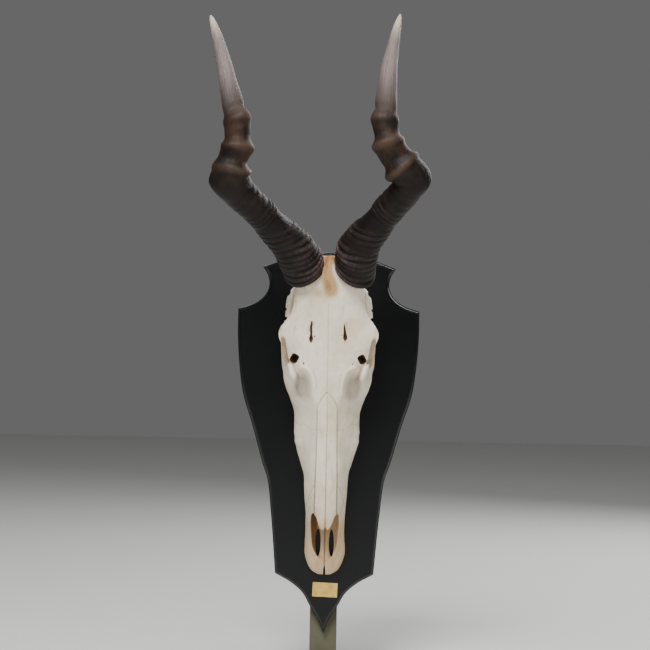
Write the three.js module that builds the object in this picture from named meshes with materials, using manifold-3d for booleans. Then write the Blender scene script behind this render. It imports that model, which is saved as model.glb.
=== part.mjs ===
// A hartebeest skull with both horns on a shield-shaped wall plaque, life size.
// Millimetres, +Z up, +X to the viewer's right, +Y into the wall. The viewer looks along +Y.
// The origin is on the back of the hanging bar, level with the middle of the plaque.

import * as THREE from 'three';
import { mergeVertices } from 'three/addons/utils/BufferGeometryUtils.js';
import Module from 'manifold-3d';

const wasm = await Module();
wasm.setup();

// Driving dimensions: the hanging bar and the plaque
const GAP = 0.3;
const BAR_WIDTH = 38;
const BAR_THICKNESS = 5;
const BAR_TOP = 90;
const BAR_BOTTOM = -318;
const PLAQUE_THICKNESS = 20;
const PLAQUE_EDGE_STEP = 13;
const PLAQUE_EDGE_COVE = 4.5;
const LABEL_SIZE = [35, 20, 0.8];
const LABEL_PLACE = [1.5, -205.5];
const LABEL_TURN = 2 * Math.PI / 180;

// Right half of the plaque's outline, from the top middle to the bottom tip.
// Each run is a smooth curve, and the runs meet in corners.
const PLAQUE_RUNS = [
  [[0, 267], [40, 262], [72, 253], [93, 245]],
  [[93, 245], [86, 233], [84, 221], [87, 210], [95, 200], [108, 192], [127, 186]],
  [[127, 186], [127, 150], [124, 106], [118, 66], [105, 25], [90, -28], [82, -52], [76, -102], [69, -184]],
  [[69, -184], [46, -197], [30, -211], [20, -228], [8, -247], [0, -267]],
];

// The skull: each station gives half widths and heights above the plaque's face.
// top is the midline of the face, roof and drop the edge of the flat roof, brow and browAt the
// upper edge of the side, side and sideAt its lower edge, foot and base the underside.
const SKULL_STATIONS = [
  { z: -183, top: 13, roof: 6, drop: 2, brow: 9, browAt: 11, side: 11, sideAt: 9, foot: 8, base: 6 },
  { z: -177, top: 16, roof: 9, drop: 2, brow: 15, browAt: 14, side: 18.5, sideAt: 10, foot: 13, base: 4 },
  { z: -165, top: 21, roof: 12, drop: 2, brow: 20, browAt: 17, side: 25, sideAt: 12, foot: 18, base: 3.5 },
  { z: -151, top: 28, roof: 14, drop: 3, brow: 24, browAt: 21, side: 28.2, sideAt: 15, foot: 20, base: 4.5 },
  { z: -120, top: 48, roof: 14, drop: 4, brow: 22, browAt: 34, side: 27.2, sideAt: 22, foot: 20, base: 9 },
  { z: -97, top: 64, roof: 14, drop: 5, brow: 22, browAt: 45, side: 27.5, sideAt: 27, foot: 20, base: 13 },
  { z: -64, top: 74, roof: 15, drop: 5, brow: 24, browAt: 52, side: 29.8, sideAt: 29, foot: 22, base: 17 },
  { z: -44, top: 79, roof: 15, drop: 5, brow: 25, browAt: 55, side: 30.6, sideAt: 30, foot: 25, base: 19 },
  { z: -26, top: 84, roof: 15, drop: 5, brow: 28, browAt: 57, side: 35.6, sideAt: 31, foot: 28, base: 20 },
  { z: -4, top: 89, roof: 14, drop: 5, brow: 31, browAt: 60, side: 42, sideAt: 34, foot: 32, base: 20 },
  { z: 18, top: 94, roof: 14, drop: 5, brow: 33, browAt: 65, side: 44.8, sideAt: 38, foot: 34, base: 20 },
  { z: 41, top: 100, roof: 14, drop: 5, brow: 34, browAt: 71, side: 45.2, sideAt: 42, foot: 35, base: 21 },
  { z: 63, top: 106, roof: 18, drop: 5, brow: 38, browAt: 79, side: 51, sideAt: 50, foot: 37, base: 33 },
  { z: 79, top: 109, roof: 24, drop: 5, brow: 43, browAt: 84, side: 57.7, sideAt: 57, foot: 43, base: 42 },
  { z: 92, top: 112, roof: 28, drop: 5, brow: 44, browAt: 90, side: 60.6, sideAt: 61, foot: 47, base: 47 },
  { z: 108, top: 116, roof: 34, drop: 5, brow: 48, browAt: 96, side: 61.6, sideAt: 64, foot: 50, base: 50 },
  { z: 131, top: 121, roof: 43, drop: 6, brow: 57, browAt: 105, side: 62.3, sideAt: 66, foot: 50, base: 52 },
  { z: 150, top: 125.6, roof: 52, drop: 7, brow: 65.5, browAt: 110, side: 63, sideAt: 70, foot: 48, base: 56 },
  { z: 160, top: 128.2, roof: 51, drop: 7, brow: 64, browAt: 113, side: 61, sideAt: 77, foot: 46, base: 61 },
  { z: 171, top: 131.4, roof: 47, drop: 6, brow: 57, browAt: 117, side: 53, sideAt: 90, foot: 42, base: 72 },
  { z: 183, top: 135, roof: 42, drop: 6, brow: 50.4, browAt: 120, side: 47, sideAt: 98, foot: 41, base: 76 },
  { z: 198, top: 140, roof: 38, drop: 6, brow: 47, browAt: 124, side: 45, sideAt: 103, foot: 41, base: 74 },
  { z: 215, top: 147, roof: 34, drop: 7, brow: 46, browAt: 128, side: 44, sideAt: 106, foot: 41, base: 72 },
  { z: 226, top: 151.5, roof: 25, drop: 7, brow: 43, browAt: 131, side: 42, sideAt: 109, foot: 38, base: 76 },
  { z: 236, top: 155, roof: 16, drop: 6, brow: 38, browAt: 134, side: 38, sideAt: 113, foot: 32, base: 86 },
  { z: 246, top: 158, roof: 8, drop: 7, brow: 30, browAt: 137, side: 31, sideAt: 120, foot: 24, base: 99 },
  { z: 257, top: 159, roof: 4, drop: 5, brow: 15, browAt: 142, side: 16, sideAt: 130, foot: 12, base: 114 },
];
const SKULL_ROW_STEP = 8;
const SKULL_SIDES = 36;

// The braincase behind the face: half width, front and underside at each height
const BRAINCASE_STATIONS = [
  { z: 118, half: 16, front: 98, under: 52 },
  { z: 135, half: 29, front: 108, under: 42 },
  { z: 158, half: 37, front: 118, under: 31 },
  { z: 180, half: 41, front: 124, under: 23 },
  { z: 198, half: 46, front: 124, under: 18 },
  { z: 210, half: 49, front: 122, under: 16 },
  { z: 219, half: 47, front: 114, under: 20 },
  { z: 226, half: 40, front: 104, under: 30 },
  { z: 232, half: 27, front: 92, under: 44 },
  { z: 236, half: 12, front: 82, under: 56 },
];
const BRAINCASE_ROWS = 13;
const BRAINCASE_SIDES = 20;
const SPINE_HOLE_CENTRE = [0, 30, 228];
const SPINE_HOLE_HALF = [13, 12, 26];

const EYE_CENTRE = [66, 83, 131];
const EYE_HALF = [44, 19, 24];
const EYE_TURN = [0.32, -0.1];
// The rim of the right eye hollow, from its top round by the nose side
const EYE_RIM = [
  [64.5, 108, 151], [57, 105, 131], [49.5, 96, 113], [52, 80, 105], [58.5, 67, 109],
  [61.3, 62, 128], [61.3, 64, 146], [61, 78, 157], [62.5, 97, 159],
];
const EYE_RIM_THICKNESS = 3.4;
const EYE_RIM_STEPS = 24;
const EYE_RIM_SIDES = 6;

// Horn centrelines as x, height above the plaque's face, z, from the base to the tip
const HORN_LEFT_LINE = [
  [-33, 135, 239], [-47, 160, 264], [-79.5, 190, 297], [-102, 216, 319], [-120.5, 236, 336], [-129, 249, 349],
  [-129, 257, 361], [-126, 261, 376], [-122, 263, 392], [-121, 263, 410], [-123, 261, 427], [-128, 257, 444],
  [-134, 249, 470], [-141, 238, 498], [-148, 226, 524], [-155, 213, 547], [-162, 202, 567],
];
const HORN_RIGHT_LINE = [
  [33, 135, 239], [37, 160, 266], [57.5, 187, 295], [73.5, 206, 314], [86, 222, 329], [97, 238, 342],
  [103, 251, 356], [90.5, 259, 370], [79, 264, 385], [72, 266, 400], [68, 265, 415], [67, 262, 430],
  [68, 258, 446], [69, 250, 469], [71, 241, 494], [75, 229, 519], [80, 215, 546], [86, 202, 573],
];
// Half thickness at each distance along the horn
const HORN_LEFT_GIRTH = [
  [0, 30], [40, 26.3], [90, 22], [130, 20], [160, 20.7], [184, 24], [200, 22.6], [218, 20], [250, 17],
  [285, 14], [311, 12.2], [341, 10.4], [366, 8.8], [389, 6.8], [409, 4.8], [424, 2.4],
];
const HORN_RIGHT_GIRTH = [
  [0, 30], [40, 27], [80, 22.3], [112, 20.2], [140, 19.6], [160, 19.2], [182, 21.5], [202, 23], [224, 20], [250, 17],
  [282, 14.3], [308, 12.8], [347, 10.4], [369, 8.4], [388, 6.7], [406, 5.1], [423, 2.4],
];
// Each ridge is its distance along the horn, its height and its half width
const HORN_KNOBS_LEFT = [[203, 5.2, 5], [232, 4.8, 7], [267, 3.6, 7]];
const HORN_KNOBS_RIGHT = [[203, 5.4, 5], [237, 5, 7], [268, 3.6, 7]];
// The corner on the outer side of each bend: its place, its height, and its reach before and after it
const HORN_CORNER_LEFT = [189, 5.4, 7, 7];
const HORN_CORNER_RIGHT = [181, 4.2, 8, 6];
const HORN_CORNER_SPREAD = 0.85;
const HORN_RINGS = { count: 9, first: 9, pitch: 7.6, growth: 0.45, height: 1.5, width: 2.6 };
const HORN_UPPER_RINGS = [[112, 1.4, 3], [121, 1.5, 3], [131, 1.3, 3]];
const HORN_SIDES = 14;
const HORN_ROW_STEP = 9;
const HORN_BASE_NORMAL = [0.42, 0.72, 0.55];
const HORN_BASE_TURN = 70;
// The bony core below a horn: its length, and its radius at each part of it
const HORN_CORE_LENGTH = 34;
const HORN_CORE_GIRTH = [[0, 14], [0.4, 18], [0.7, 21], [0.88, 24.5], [1, 27]];
const HORN_CORE_SIDES = 16;

// Cheek teeth, second premolar to third molar: length along the row and width
const TEETH = [[11, 10], [13, 12], [14, 13], [17, 15], [20, 16], [21, 15]];
const TOOTH_ROW_START = -54;
const TOOTH_ROW_NEAR = 24;
const TOOTH_ROW_FAR = 31;
const TOOTH_GAP = 0.5;
const TOOTH_ROOT = 27;
const TOOTH_FOOT = 0.5;

// Nasal bones and the front of the snout
const NASAL_TOP = 74;
const NASAL_NOTCH = -95;
const NASAL_TIP = -116;
const NASAL_THICKNESS = 6;
const NASAL_FALL = 0.33;
const NASAL_CROWN = 6.4;
const NASAL_DIP = 0.25;
const NASAL_EDGE = [[-116, 6.5], [-108, 10], [-96, 14], [-64, 15.3], [-20, 14.4], [18, 14], [52, 13.4], [64, 9], [74, 1.5]];
const PREMAXILLA_TOP = { z: -62, at: 62 };
const PREMAXILLA_FOOT = { z: -118, at: 0 };
// The nose passage from front to back: z, half width, floor and roof
const NOSE_PASSAGE = [
  [-156, 12, 12, 60], [-140, 19, 12, 80], [-118, 20, 15, 90], [-99, 19, 19, 90],
  [-90, 16, 24, 60], [-60, 12, 32, 62], [-30, 7, 42, 60],
];
const NOTCH_CENTRE = [0, 12, -182];
const NOTCH_HALF = [1.8, 30, 13];
const SLOT_CENTRE = [9.4, 10, -138];
const SLOT_HALF = [3.7, 30, 20.5];

const SKULL_BONE = new THREE.MeshStandardMaterial({ color: 0xcfcabb, roughness: 0.72, metalness: 0 });
const SNOUT_BONE = new THREE.MeshStandardMaterial({ color: 0xb9a98a, roughness: 0.75, metalness: 0 });
const HORN = new THREE.MeshStandardMaterial({ color: 0x3a2f2c, roughness: 0.5, metalness: 0 });
const BLACK_SATIN = new THREE.MeshStandardMaterial({ color: 0x0e0f11, roughness: 0.35, metalness: 0 });
const BRASS = new THREE.MeshStandardMaterial({ color: 0xd9bf80, roughness: 0.35, metalness: 1 });
const PAINTED_STEEL = new THREE.MeshStandardMaterial({ color: 0x6b6a58, roughness: 0.6, metalness: 0.3 });

const FACE_Y = -(BAR_THICKNESS + GAP + PLAQUE_THICKNESS);

// A point from x, height above the plaque's face and z
function at(x, height, z) {
  return new THREE.Vector3(x, FACE_Y - height, z);
}

// Smooth value between rows that rise in their first number, without overshoot
function between(rows, x) {
  const last = rows.length - 1;
  if (x <= rows[0][0]) return rows[0][1];
  if (x >= rows[last][0]) return rows[last][1];
  let i = 0;
  while (x > rows[i + 1][0]) i += 1;
  const slope = (k) => (rows[k + 1][1] - rows[k][1]) / (rows[k + 1][0] - rows[k][0]);
  const tangent = (k) => {
    if (k === 0 || k === last) return slope(Math.min(k, last - 1));
    const before = slope(k - 1);
    const after = slope(k);
    return before * after <= 0 ? 0 : 2 * before * after / (before + after);
  };
  const width = rows[i + 1][0] - rows[i][0];
  const t = (x - rows[i][0]) / width;
  const fade = t * t * (3 - 2 * t);
  const startPart = t * (1 - t) * (1 - t) * width * tangent(i);
  const endPart = t * t * (t - 1) * width * tangent(i + 1);
  return rows[i][1] + fade * (rows[i + 1][1] - rows[i][1]) + startPart + endPart;
}

// The same for a table of named stations
function stationAt(stations, z) {
  const found = {};
  for (const key of Object.keys(stations[0])) {
    found[key] = key === 'z' ? z : between(stations.map((s) => [s.z, s[key]]), z);
  }
  return found;
}

// A closed skin over rings of equal length, each end closed by a fan to its middle
function loftRings(rings) {
  const sides = rings[0].length;
  const positions = [];
  const faces = [];
  const push = (p) => positions.push(p.x, p.y, p.z);
  rings.forEach((ring) => ring.forEach(push));
  for (let r = 0; r < rings.length - 1; r += 1) {
    for (let k = 0; k < sides; k += 1) {
      const a = r * sides + k;
      const b = r * sides + (k + 1) % sides;
      // The diagonals of the two halves of a ring are mirror images
      if (k < sides / 2) faces.push(a, b, a + sides, b, b + sides, a + sides);
      else faces.push(a, b, b + sides, a, b + sides, a + sides);
    }
  }
  const middle = (ring) => ring.reduce((sum, p) => sum.add(p), new THREE.Vector3()).divideScalar(sides);
  const first = rings.length * sides;
  push(middle(rings[0]));
  push(middle(rings[rings.length - 1]));
  for (let k = 0; k < sides; k += 1) {
    const next = (k + 1) % sides;
    const top = (rings.length - 1) * sides;
    faces.push(first, next, k, first + 1, top + k, top + next);
  }
  const geometry = new THREE.BufferGeometry();
  geometry.setAttribute('position', new THREE.Float32BufferAttribute(positions, 3));
  geometry.setIndex(faces);
  return outward(geometry);
}

// Turns every face over when the shape's signed volume is negative
function outward(geometry) {
  const p = geometry.getAttribute('position');
  const index = geometry.getIndex().array;
  const corner = (i) => new THREE.Vector3().fromBufferAttribute(p, index[i]);
  let volume = 0;
  for (let i = 0; i < index.length; i += 3) {
    volume += corner(i).dot(corner(i + 1).cross(corner(i + 2)));
  }
  if (volume < 0) {
    const turned = Array.from(index);
    for (let i = 0; i < turned.length; i += 3) {
      [turned[i + 1], turned[i + 2]] = [turned[i + 2], turned[i + 1]];
    }
    geometry.setIndex(turned);
  }
  return geometry;
}

function solidOf(geometry) {
  const plain = geometry.clone();
  plain.deleteAttribute('normal');
  plain.deleteAttribute('uv');
  const merged = mergeVertices(plain, 1e-3);
  const mesh = new wasm.Mesh({
    numProp: 3,
    vertProperties: new Float32Array(merged.getAttribute('position').array),
    triVerts: new Uint32Array(merged.getIndex().array),
  });
  return new wasm.Manifold(mesh);
}

// The largest closed surface of a solid
function largest(solid) {
  const parts = solid.decompose();
  parts.sort((a, b) => b.volume() - a.volume());
  return parts[0];
}

function meshOf(name, solid, material) {
  const data = largest(solid).getMesh();
  const geometry = new THREE.BufferGeometry();
  const positions = new Float32Array(data.vertProperties);
  geometry.setAttribute('position', new THREE.BufferAttribute(positions, 3));
  geometry.setIndex(new THREE.BufferAttribute(new Uint32Array(data.triVerts), 1));
  geometry.computeVertexNormals();
  const mesh = new THREE.Mesh(geometry, material);
  mesh.name = name;
  return mesh;
}

function union(solids) {
  return solids.reduce((whole, next) => whole.add(next));
}

function mirrored(make) {
  return [make(-1), make(1)];
}

// An ellipsoid with half sizes along x, height and z, turned about the given angles
function blob(centre, radii, turn = [0, 0, 0], detail = 6) {
  const ball = new THREE.SphereGeometry(1, detail * 2, detail);
  const matrix = new THREE.Matrix4().compose(
    at(...centre),
    new THREE.Quaternion().setFromEuler(new THREE.Euler(...turn)),
    new THREE.Vector3(...radii),
  );
  ball.applyMatrix4(matrix);
  return solidOf(ball);
}

// A block between two corners given as x, height and z
function block(low, high) {
  const box = new THREE.BoxGeometry(high[0] - low[0], high[1] - low[1], high[2] - low[2]);
  const centre = at((low[0] + high[0]) / 2, (low[1] + high[1]) / 2, (low[2] + high[2]) / 2);
  box.translate(centre.x, centre.y, centre.z);
  return solidOf(box);
}

// A rod of changing elliptic section along a line of [x, height, z, half width, half depth]
function rod(rows, sides = 10, steps = 2) {
  const curve = new THREE.CatmullRomCurve3(rows.map((r) => at(r[0], r[1], r[2])), false, 'centripetal');
  const count = (rows.length - 1) * steps;
  const rings = [];
  for (let i = 0; i <= count; i += 1) {
    const t = i / count;
    const centre = curve.getPoint(t);
    const along = curve.getTangent(t);
    const wide = new THREE.Vector3(1, 0, 0).cross(along).normalize();
    const across = wide.clone().cross(along).normalize();
    const place = t * (rows.length - 1);
    const half = between(rows.map((r, k) => [k, r[3]]), place);
    const depth = between(rows.map((r, k) => [k, r[4]]), place);
    rings.push(ringAround(centre, across, wide, half, depth, sides));
  }
  return solidOf(loftRings(rings));
}

function ringAround(centre, across, wide, half, depth, sides) {
  const ring = [];
  for (let k = 0; k < sides; k += 1) {
    const angle = 2 * Math.PI * k / sides;
    const p = centre.clone();
    p.addScaledVector(across, half * Math.cos(angle));
    p.addScaledVector(wide, depth * Math.sin(angle));
    ring.push(p);
  }
  return ring;
}

// Hollows and swellings of the face, as [x, z, half width, half length, height], on both sides
const FACE_RELIEF = [
  [34, 84, 13, 22, -6],
  [43, 4, 10, 12, 2.5],
  [33, -8, 9, 12, -3],
  [48, 92, 5, 7, 3],
  [22, 150, 9, 14, -1.5],
  [0, 185, 22, 24, 2],
  [15, 60, 6, 22, 1.5],
];

function relief(x, z) {
  let sum = 0;
  for (const [rx, rz, half, length, height] of FACE_RELIEF) {
    sum += height * Math.exp(-(((Math.abs(x) - rx) / half) ** 2) - (((z - rz) / length) ** 2));
  }
  return sum;
}

// One closed outline of the skull across its long axis
function skullRing(z) {
  const s = stationAt(SKULL_STATIONS, z);
  const edge = s.top - s.drop;
  const half = [
    [0, s.top],
    [s.roof * 0.55, s.top - s.drop * 0.25],
    [s.roof, edge],
    [s.brow, s.browAt],
    [s.side, s.sideAt],
    [s.foot + (s.side - s.foot) * 0.4, s.base + (s.sideAt - s.base) * 0.2],
    [s.foot * 0.6, s.base],
    [0, s.base + 2],
  ];
  const outline = half.map((p) => at(p[0], p[1], z));
  for (let k = half.length - 2; k > 0; k -= 1) outline.push(at(-half[k][0], half[k][1], z));
  const curve = new THREE.CatmullRomCurve3(outline, true, 'centripetal');
  const ring = [];
  for (let k = 0; k < SKULL_SIDES; k += 1) {
    const p = curve.getPoint(k / SKULL_SIDES);
    const height = FACE_Y - p.y;
    const facing = THREE.MathUtils.smoothstep(height, s.sideAt - 8, s.sideAt + 12);
    p.y -= relief(p.x, z) * facing;
    ring.push(p);
  }
  return ring;
}

function skullBody() {
  const low = SKULL_STATIONS[0].z;
  const high = SKULL_STATIONS[SKULL_STATIONS.length - 1].z;
  const rows = Math.round((high - low) / SKULL_ROW_STEP);
  const rings = [];
  for (let i = 0; i <= rows; i += 1) rings.push(skullRing(low + (high - low) * i / rows));
  return solidOf(loftRings(rings));
}

function braincase() {
  const low = BRAINCASE_STATIONS[0].z;
  const high = BRAINCASE_STATIONS[BRAINCASE_STATIONS.length - 1].z;
  const rings = [];
  for (let i = 0; i <= BRAINCASE_ROWS; i += 1) {
    const s = stationAt(BRAINCASE_STATIONS, low + (high - low) * i / BRAINCASE_ROWS);
    const centre = at(0, (s.front + s.under) / 2, s.z);
    const across = new THREE.Vector3(1, 0, 0);
    const wide = new THREE.Vector3(0, 1, 0);
    rings.push(ringAround(centre, across, wide, s.half, (s.front - s.under) / 2, BRAINCASE_SIDES));
  }
  return solidOf(loftRings(rings));
}

// The bony core that carries a horn, up to the horn's base plane
function hornCore(side) {
  const normal = baseNormal(side);
  const [x, height, z] = HORN_RIGHT_LINE[0];
  const end = at(side * x, height, z);
  const start = end.clone().addScaledVector(normal, -HORN_CORE_LENGTH);
  const across = new THREE.Vector3(0, 0, 1).cross(normal).normalize();
  const wide = normal.clone().cross(across).normalize();
  const rings = HORN_CORE_GIRTH.map(([t, radius]) => {
    return ringAround(start.clone().lerp(end, t), across, wide, radius, radius, HORN_CORE_SIDES);
  });
  return solidOf(loftRings(rings));
}

function baseNormal(side) {
  const [x, height, z] = HORN_BASE_NORMAL;
  return new THREE.Vector3(side * x, -height, z).normalize();
}

// Cheekbone bridge, its root at the ear, the ear region and the joints of the neck
function cheekArch(side) {
  return rod([
    [side * 44, 52, 64, 3, 3],
    [side * 51, 53, 86, 5, 6],
    [side * 57, 57, 108, 6, 9],
    [side * 60, 60, 134, 5, 8],
    [side * 60, 60, 158, 4, 7],
    [side * 58, 57, 178, 5, 7],
    [side * 50, 54, 195, 8, 9],
    [side * 36, 52, 204, 9, 10],
  ]);
}

function earSwelling(side) {
  return blob([side * 23, 22, 172], [9, 13, 15]);
}

function neckJoint(side) {
  return blob([side * 16, 14, 214], [10, 13, 14], [0, side * 0.3, 0]);
}

function jugularProcess(side) {
  return rod([[side * 40, 40, 206, 9, 9], [side * 38, 20, 205, 7, 5], [side * 35, 5, 203, 3, 3]]);
}

// Palate bones behind the teeth that frame the inner nostrils
function wingBone(side) {
  return rod([
    [side * 18, 34, 36, 6, 12],
    [side * 15, 38, 64, 3.5, 14],
    [side * 14, 42, 95, 3, 13],
    [side * 14, 42, 124, 3.5, 8],
  ]);
}

// The crest across the back of the head, above the neck
function neckCrest() {
  return rod([
    [-46, 52, 204, 5, 5],
    [-33, 64, 222, 6, 6],
    [0, 74, 233, 7, 7],
    [33, 64, 222, 6, 6],
    [46, 52, 204, 5, 5],
  ]);
}

function skullBaseBar() {
  return rod([[0, 58, 84, 9, 8], [0, 46, 122, 11, 9], [0, 33, 158, 13, 9], [0, 24, 194, 16, 9], [0, 24, 209, 16, 8]]);
}

// The hollow of the eye, opening sideways and a little forward
function eyeHollow(side) {
  const [x, height, z] = EYE_CENTRE;
  return blob([side * x, height, z], EYE_HALF, [0, side * EYE_TURN[0], side * EYE_TURN[1]], 9);
}

function eyeRim(side) {
  const points = EYE_RIM.map(([x, height, z]) => at(side * x, height, z));
  const curve = new THREE.CatmullRomCurve3(points, true, 'centripetal');
  return solidOf(outward(mergedTube(curve, EYE_RIM_THICKNESS)));
}

// A tube round a closed curve, with its seam joined
function mergedTube(curve, radius) {
  const tube = new THREE.TubeGeometry(curve, EYE_RIM_STEPS, radius, EYE_RIM_SIDES, true);
  tube.deleteAttribute('normal');
  tube.deleteAttribute('uv');
  return mergeVertices(tube, 1e-3);
}

function spineHole() {
  return blob(SPINE_HOLE_CENTRE, SPINE_HOLE_HALF);
}

// The teeth of one side, each a closed block with a rounded plan
function toothRow(side) {
  const total = TEETH.reduce((sum, t) => sum + t[0] + TOOTH_GAP, 0);
  const teeth = [];
  let z = TOOTH_ROW_START;
  for (const [length, width] of TEETH) {
    const middle = z + length / 2;
    const along = (middle - TOOTH_ROW_START) / total;
    const x = side * (TOOTH_ROW_NEAR + (TOOTH_ROW_FAR - TOOTH_ROW_NEAR) * Math.sin(along * Math.PI / 2));
    teeth.push(tooth(x, middle, length, width));
    z += length + TOOTH_GAP;
  }
  return union(teeth);
}

function tooth(x, z, length, width) {
  const rings = [];
  for (const [height, swell] of [[TOOTH_FOOT, 0.86], [4, 1], [TOOTH_ROOT, 0.92]]) {
    const ring = [];
    for (let k = 0; k < 12; k += 1) {
      const angle = 2 * Math.PI * (k + 0.5) / 12;
      const corner = (v) => Math.sign(v) * Math.abs(v) ** 0.5;
      ring.push(at(
        x + corner(Math.cos(angle)) * width / 2 * swell,
        height,
        z + corner(Math.sin(angle)) * length / 2 * swell,
      ));
    }
    rings.push(ring);
  }
  return solidOf(loftRings(rings));
}

// The nose passage, open to the front below the tips of the nasal bones
function nosePassage() {
  const rings = NOSE_PASSAGE.map(([z, half, floor, roof]) => {
    const centre = at(0, (floor + roof) / 2, z);
    return ringAround(centre, new THREE.Vector3(1, 0, 0), new THREE.Vector3(0, 1, 0), half, (roof - floor) / 2, 24);
  });
  return solidOf(loftRings(rings));
}

// The two slots through the roof of the mouth
function palateSlot(side) {
  return blob([side * SLOT_CENTRE[0], SLOT_CENTRE[1], SLOT_CENTRE[2]], SLOT_HALF, [0, 0, 0], 7);
}

// The notch between the two front tips
function snoutNotch() {
  return blob(NOTCH_CENTRE, NOTCH_HALF);
}

// The zone that a nasal bone fills, wider by grow on its outer and lower faces
function nasalZone(side, grow) {
  const rings = [];
  const count = 20;
  for (let i = 0; i <= count; i += 1) {
    const ends = (i === 0 ? -grow : 0) + (i === count ? grow : 0);
    const z = NASAL_TIP + (NASAL_TOP - NASAL_TIP) * i / count + ends;
    const inner = side * (grow > 0 ? -1 : GAP / 2);
    const outer = side * (between(NASAL_EDGE, z) + grow);
    const floor = between(SKULL_STATIONS.map((s) => [s.z, s.top]), Math.max(z, NASAL_NOTCH)) - NASAL_THICKNESS;
    const dip = Math.max(0, NASAL_NOTCH - z) * NASAL_DIP;
    const lower = (x) => floor - dip - 2 * grow - NASAL_FALL * Math.abs(x);
    rings.push([
      at(inner, lower(0), z), at(outer, lower(outer), z), at(outer, floor + 30, z), at(inner, floor + 30, z),
    ]);
  }
  return solidOf(loftRings(rings));
}

// The two nasal bones' shared roof, reaching forward past the notch to their tips
function nasalRoof() {
  const rings = [];
  const count = 26;
  const half = 17;
  const depth = 12;
  for (let i = 0; i <= count; i += 1) {
    const z = NASAL_TIP + (NASAL_TOP - NASAL_TIP) * i / count;
    const top = between(SKULL_STATIONS.map((s) => [s.z, s.top]), Math.max(z, NASAL_NOTCH));
    const dip = Math.max(0, NASAL_NOTCH - z) * NASAL_DIP;
    const ring = [];
    for (let k = 0; k <= 8; k += 1) {
      const x = half * (1 - k / 4);
      ring.push(at(x, top - dip + relief(x, z) - NASAL_CROWN * (x / half) ** 2, z));
    }
    for (let k = 0; k <= 2; k += 1) {
      const x = half * (k - 1);
      ring.push(at(x, top - dip - depth - NASAL_CROWN * 0.6 * (x / half) ** 2, z));
    }
    rings.push(ring);
  }
  return solidOf(loftRings(rings));
}

// Everything in front of the seam between the snout's tip and the upper jaw
function snoutZone(shift) {
  const profile = new THREE.Shape();
  const slope = (PREMAXILLA_TOP.at - PREMAXILLA_FOOT.at) / (PREMAXILLA_TOP.z - PREMAXILLA_FOOT.z);
  const reach = 100;
  const under = -20;
  const below = -400;
  const zAt = (height) => PREMAXILLA_FOOT.z + (height - PREMAXILLA_FOOT.at) / slope + shift;
  profile.moveTo(under, zAt(under));
  profile.lineTo(reach, zAt(reach));
  profile.lineTo(reach, below);
  profile.lineTo(under, below);
  profile.closePath();
  const slab = new THREE.ExtrudeGeometry(profile, { depth: 2 * reach, bevelEnabled: false });
  // The profile's first axis is the height above the plaque, its second is z
  const matrix = new THREE.Matrix4().makeBasis(
    new THREE.Vector3(0, -1, 0),
    new THREE.Vector3(0, 0, 1),
    new THREE.Vector3(-1, 0, 0),
  );
  matrix.setPosition(reach, FACE_Y, 0);
  slab.applyMatrix4(matrix);
  return solidOf(slab);
}

function hornGirth(table, knobs, s) {
  let radius = between(table, s);
  for (const [place, height, width] of hornRidges(knobs)) {
    radius += height * Math.exp(-(((s - place) / width) ** 2));
  }
  return radius;
}

function hornRidges(knobs) {
  const ridges = [];
  let place = HORN_RINGS.first;
  for (let k = 0; k < HORN_RINGS.count; k += 1) {
    ridges.push([place, HORN_RINGS.height, HORN_RINGS.width]);
    place += HORN_RINGS.pitch + HORN_RINGS.growth * k;
  }
  return ridges.concat(HORN_UPPER_RINGS, knobs);
}

// Distances along a horn where a section is wanted: each ridge's crest and feet, and a few between
function hornRows(length, knobs, [corner, , before, after]) {
  const wanted = [0, length - 10, length - 4, length];
  wanted.push(corner - before, corner - before / 3, corner, corner + after / 2);
  for (const [place, , width] of hornRidges(knobs)) wanted.push(place - width * 1.3, place, place + width * 1.3);
  wanted.sort((a, b) => a - b);
  const rows = [0];
  for (const s of wanted) {
    const last = rows[rows.length - 1];
    const gap = s - last;
    if (gap < 1.8) continue;
    const pieces = Math.ceil(gap / HORN_ROW_STEP);
    for (let k = 1; k <= pieces; k += 1) rows.push(last + gap * k / pieces);
  }
  return rows;
}

// How far a horn's corner stands out at a distance along the horn and an angle round it
function hornCorner([place, height, before, after], s, angle) {
  const along = Math.abs((s - place) / (s < place ? before : after)) ** 1.4;
  return height * Math.exp(-along - (angle / HORN_CORNER_SPREAD) ** 2);
}

function horn(side, line, table, knobs, corner, grow) {
  const curve = new THREE.CatmullRomCurve3(line.map((p) => at(...p)), false, 'centripetal');
  curve.arcLengthDivisions = 800;
  const length = curve.getLength();
  const base = baseNormal(side);
  const rings = [];
  for (const s of hornRows(length, knobs, corner)) {
    const t = s / length;
    const centre = curve.getPointAt(t);
    const along = curve.getTangentAt(t);
    const turn = 1 - THREE.MathUtils.smoothstep(s, 0, HORN_BASE_TURN);
    const normal = along.clone().lerp(base, turn).normalize();
    const across = new THREE.Vector3(0, 1, 0).cross(normal).normalize();
    const wide = normal.clone().cross(across).normalize();
    const tip = Math.min(1, Math.sqrt(Math.max(0, (length - s) / 6)));
    const radius = (hornGirth(table, knobs, s) + grow) * Math.max(tip, 0.2);
    if (s === 0) centre.addScaledVector(base, GAP - grow);
    const ring = ringAround(centre, across, wide, radius, radius, HORN_SIDES);
    ring.forEach((p, k) => {
      const turned = 2 * Math.PI * k / HORN_SIDES - (side < 0 ? Math.PI : 0);
      const angle = Math.atan2(Math.sin(turned), Math.cos(turned));
      const outward = p.clone().sub(centre).normalize();
      p.addScaledVector(outward, hornCorner(corner, s, angle));
    });
    rings.push(ring);
  }
  return solidOf(loftRings(rings));
}

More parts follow.
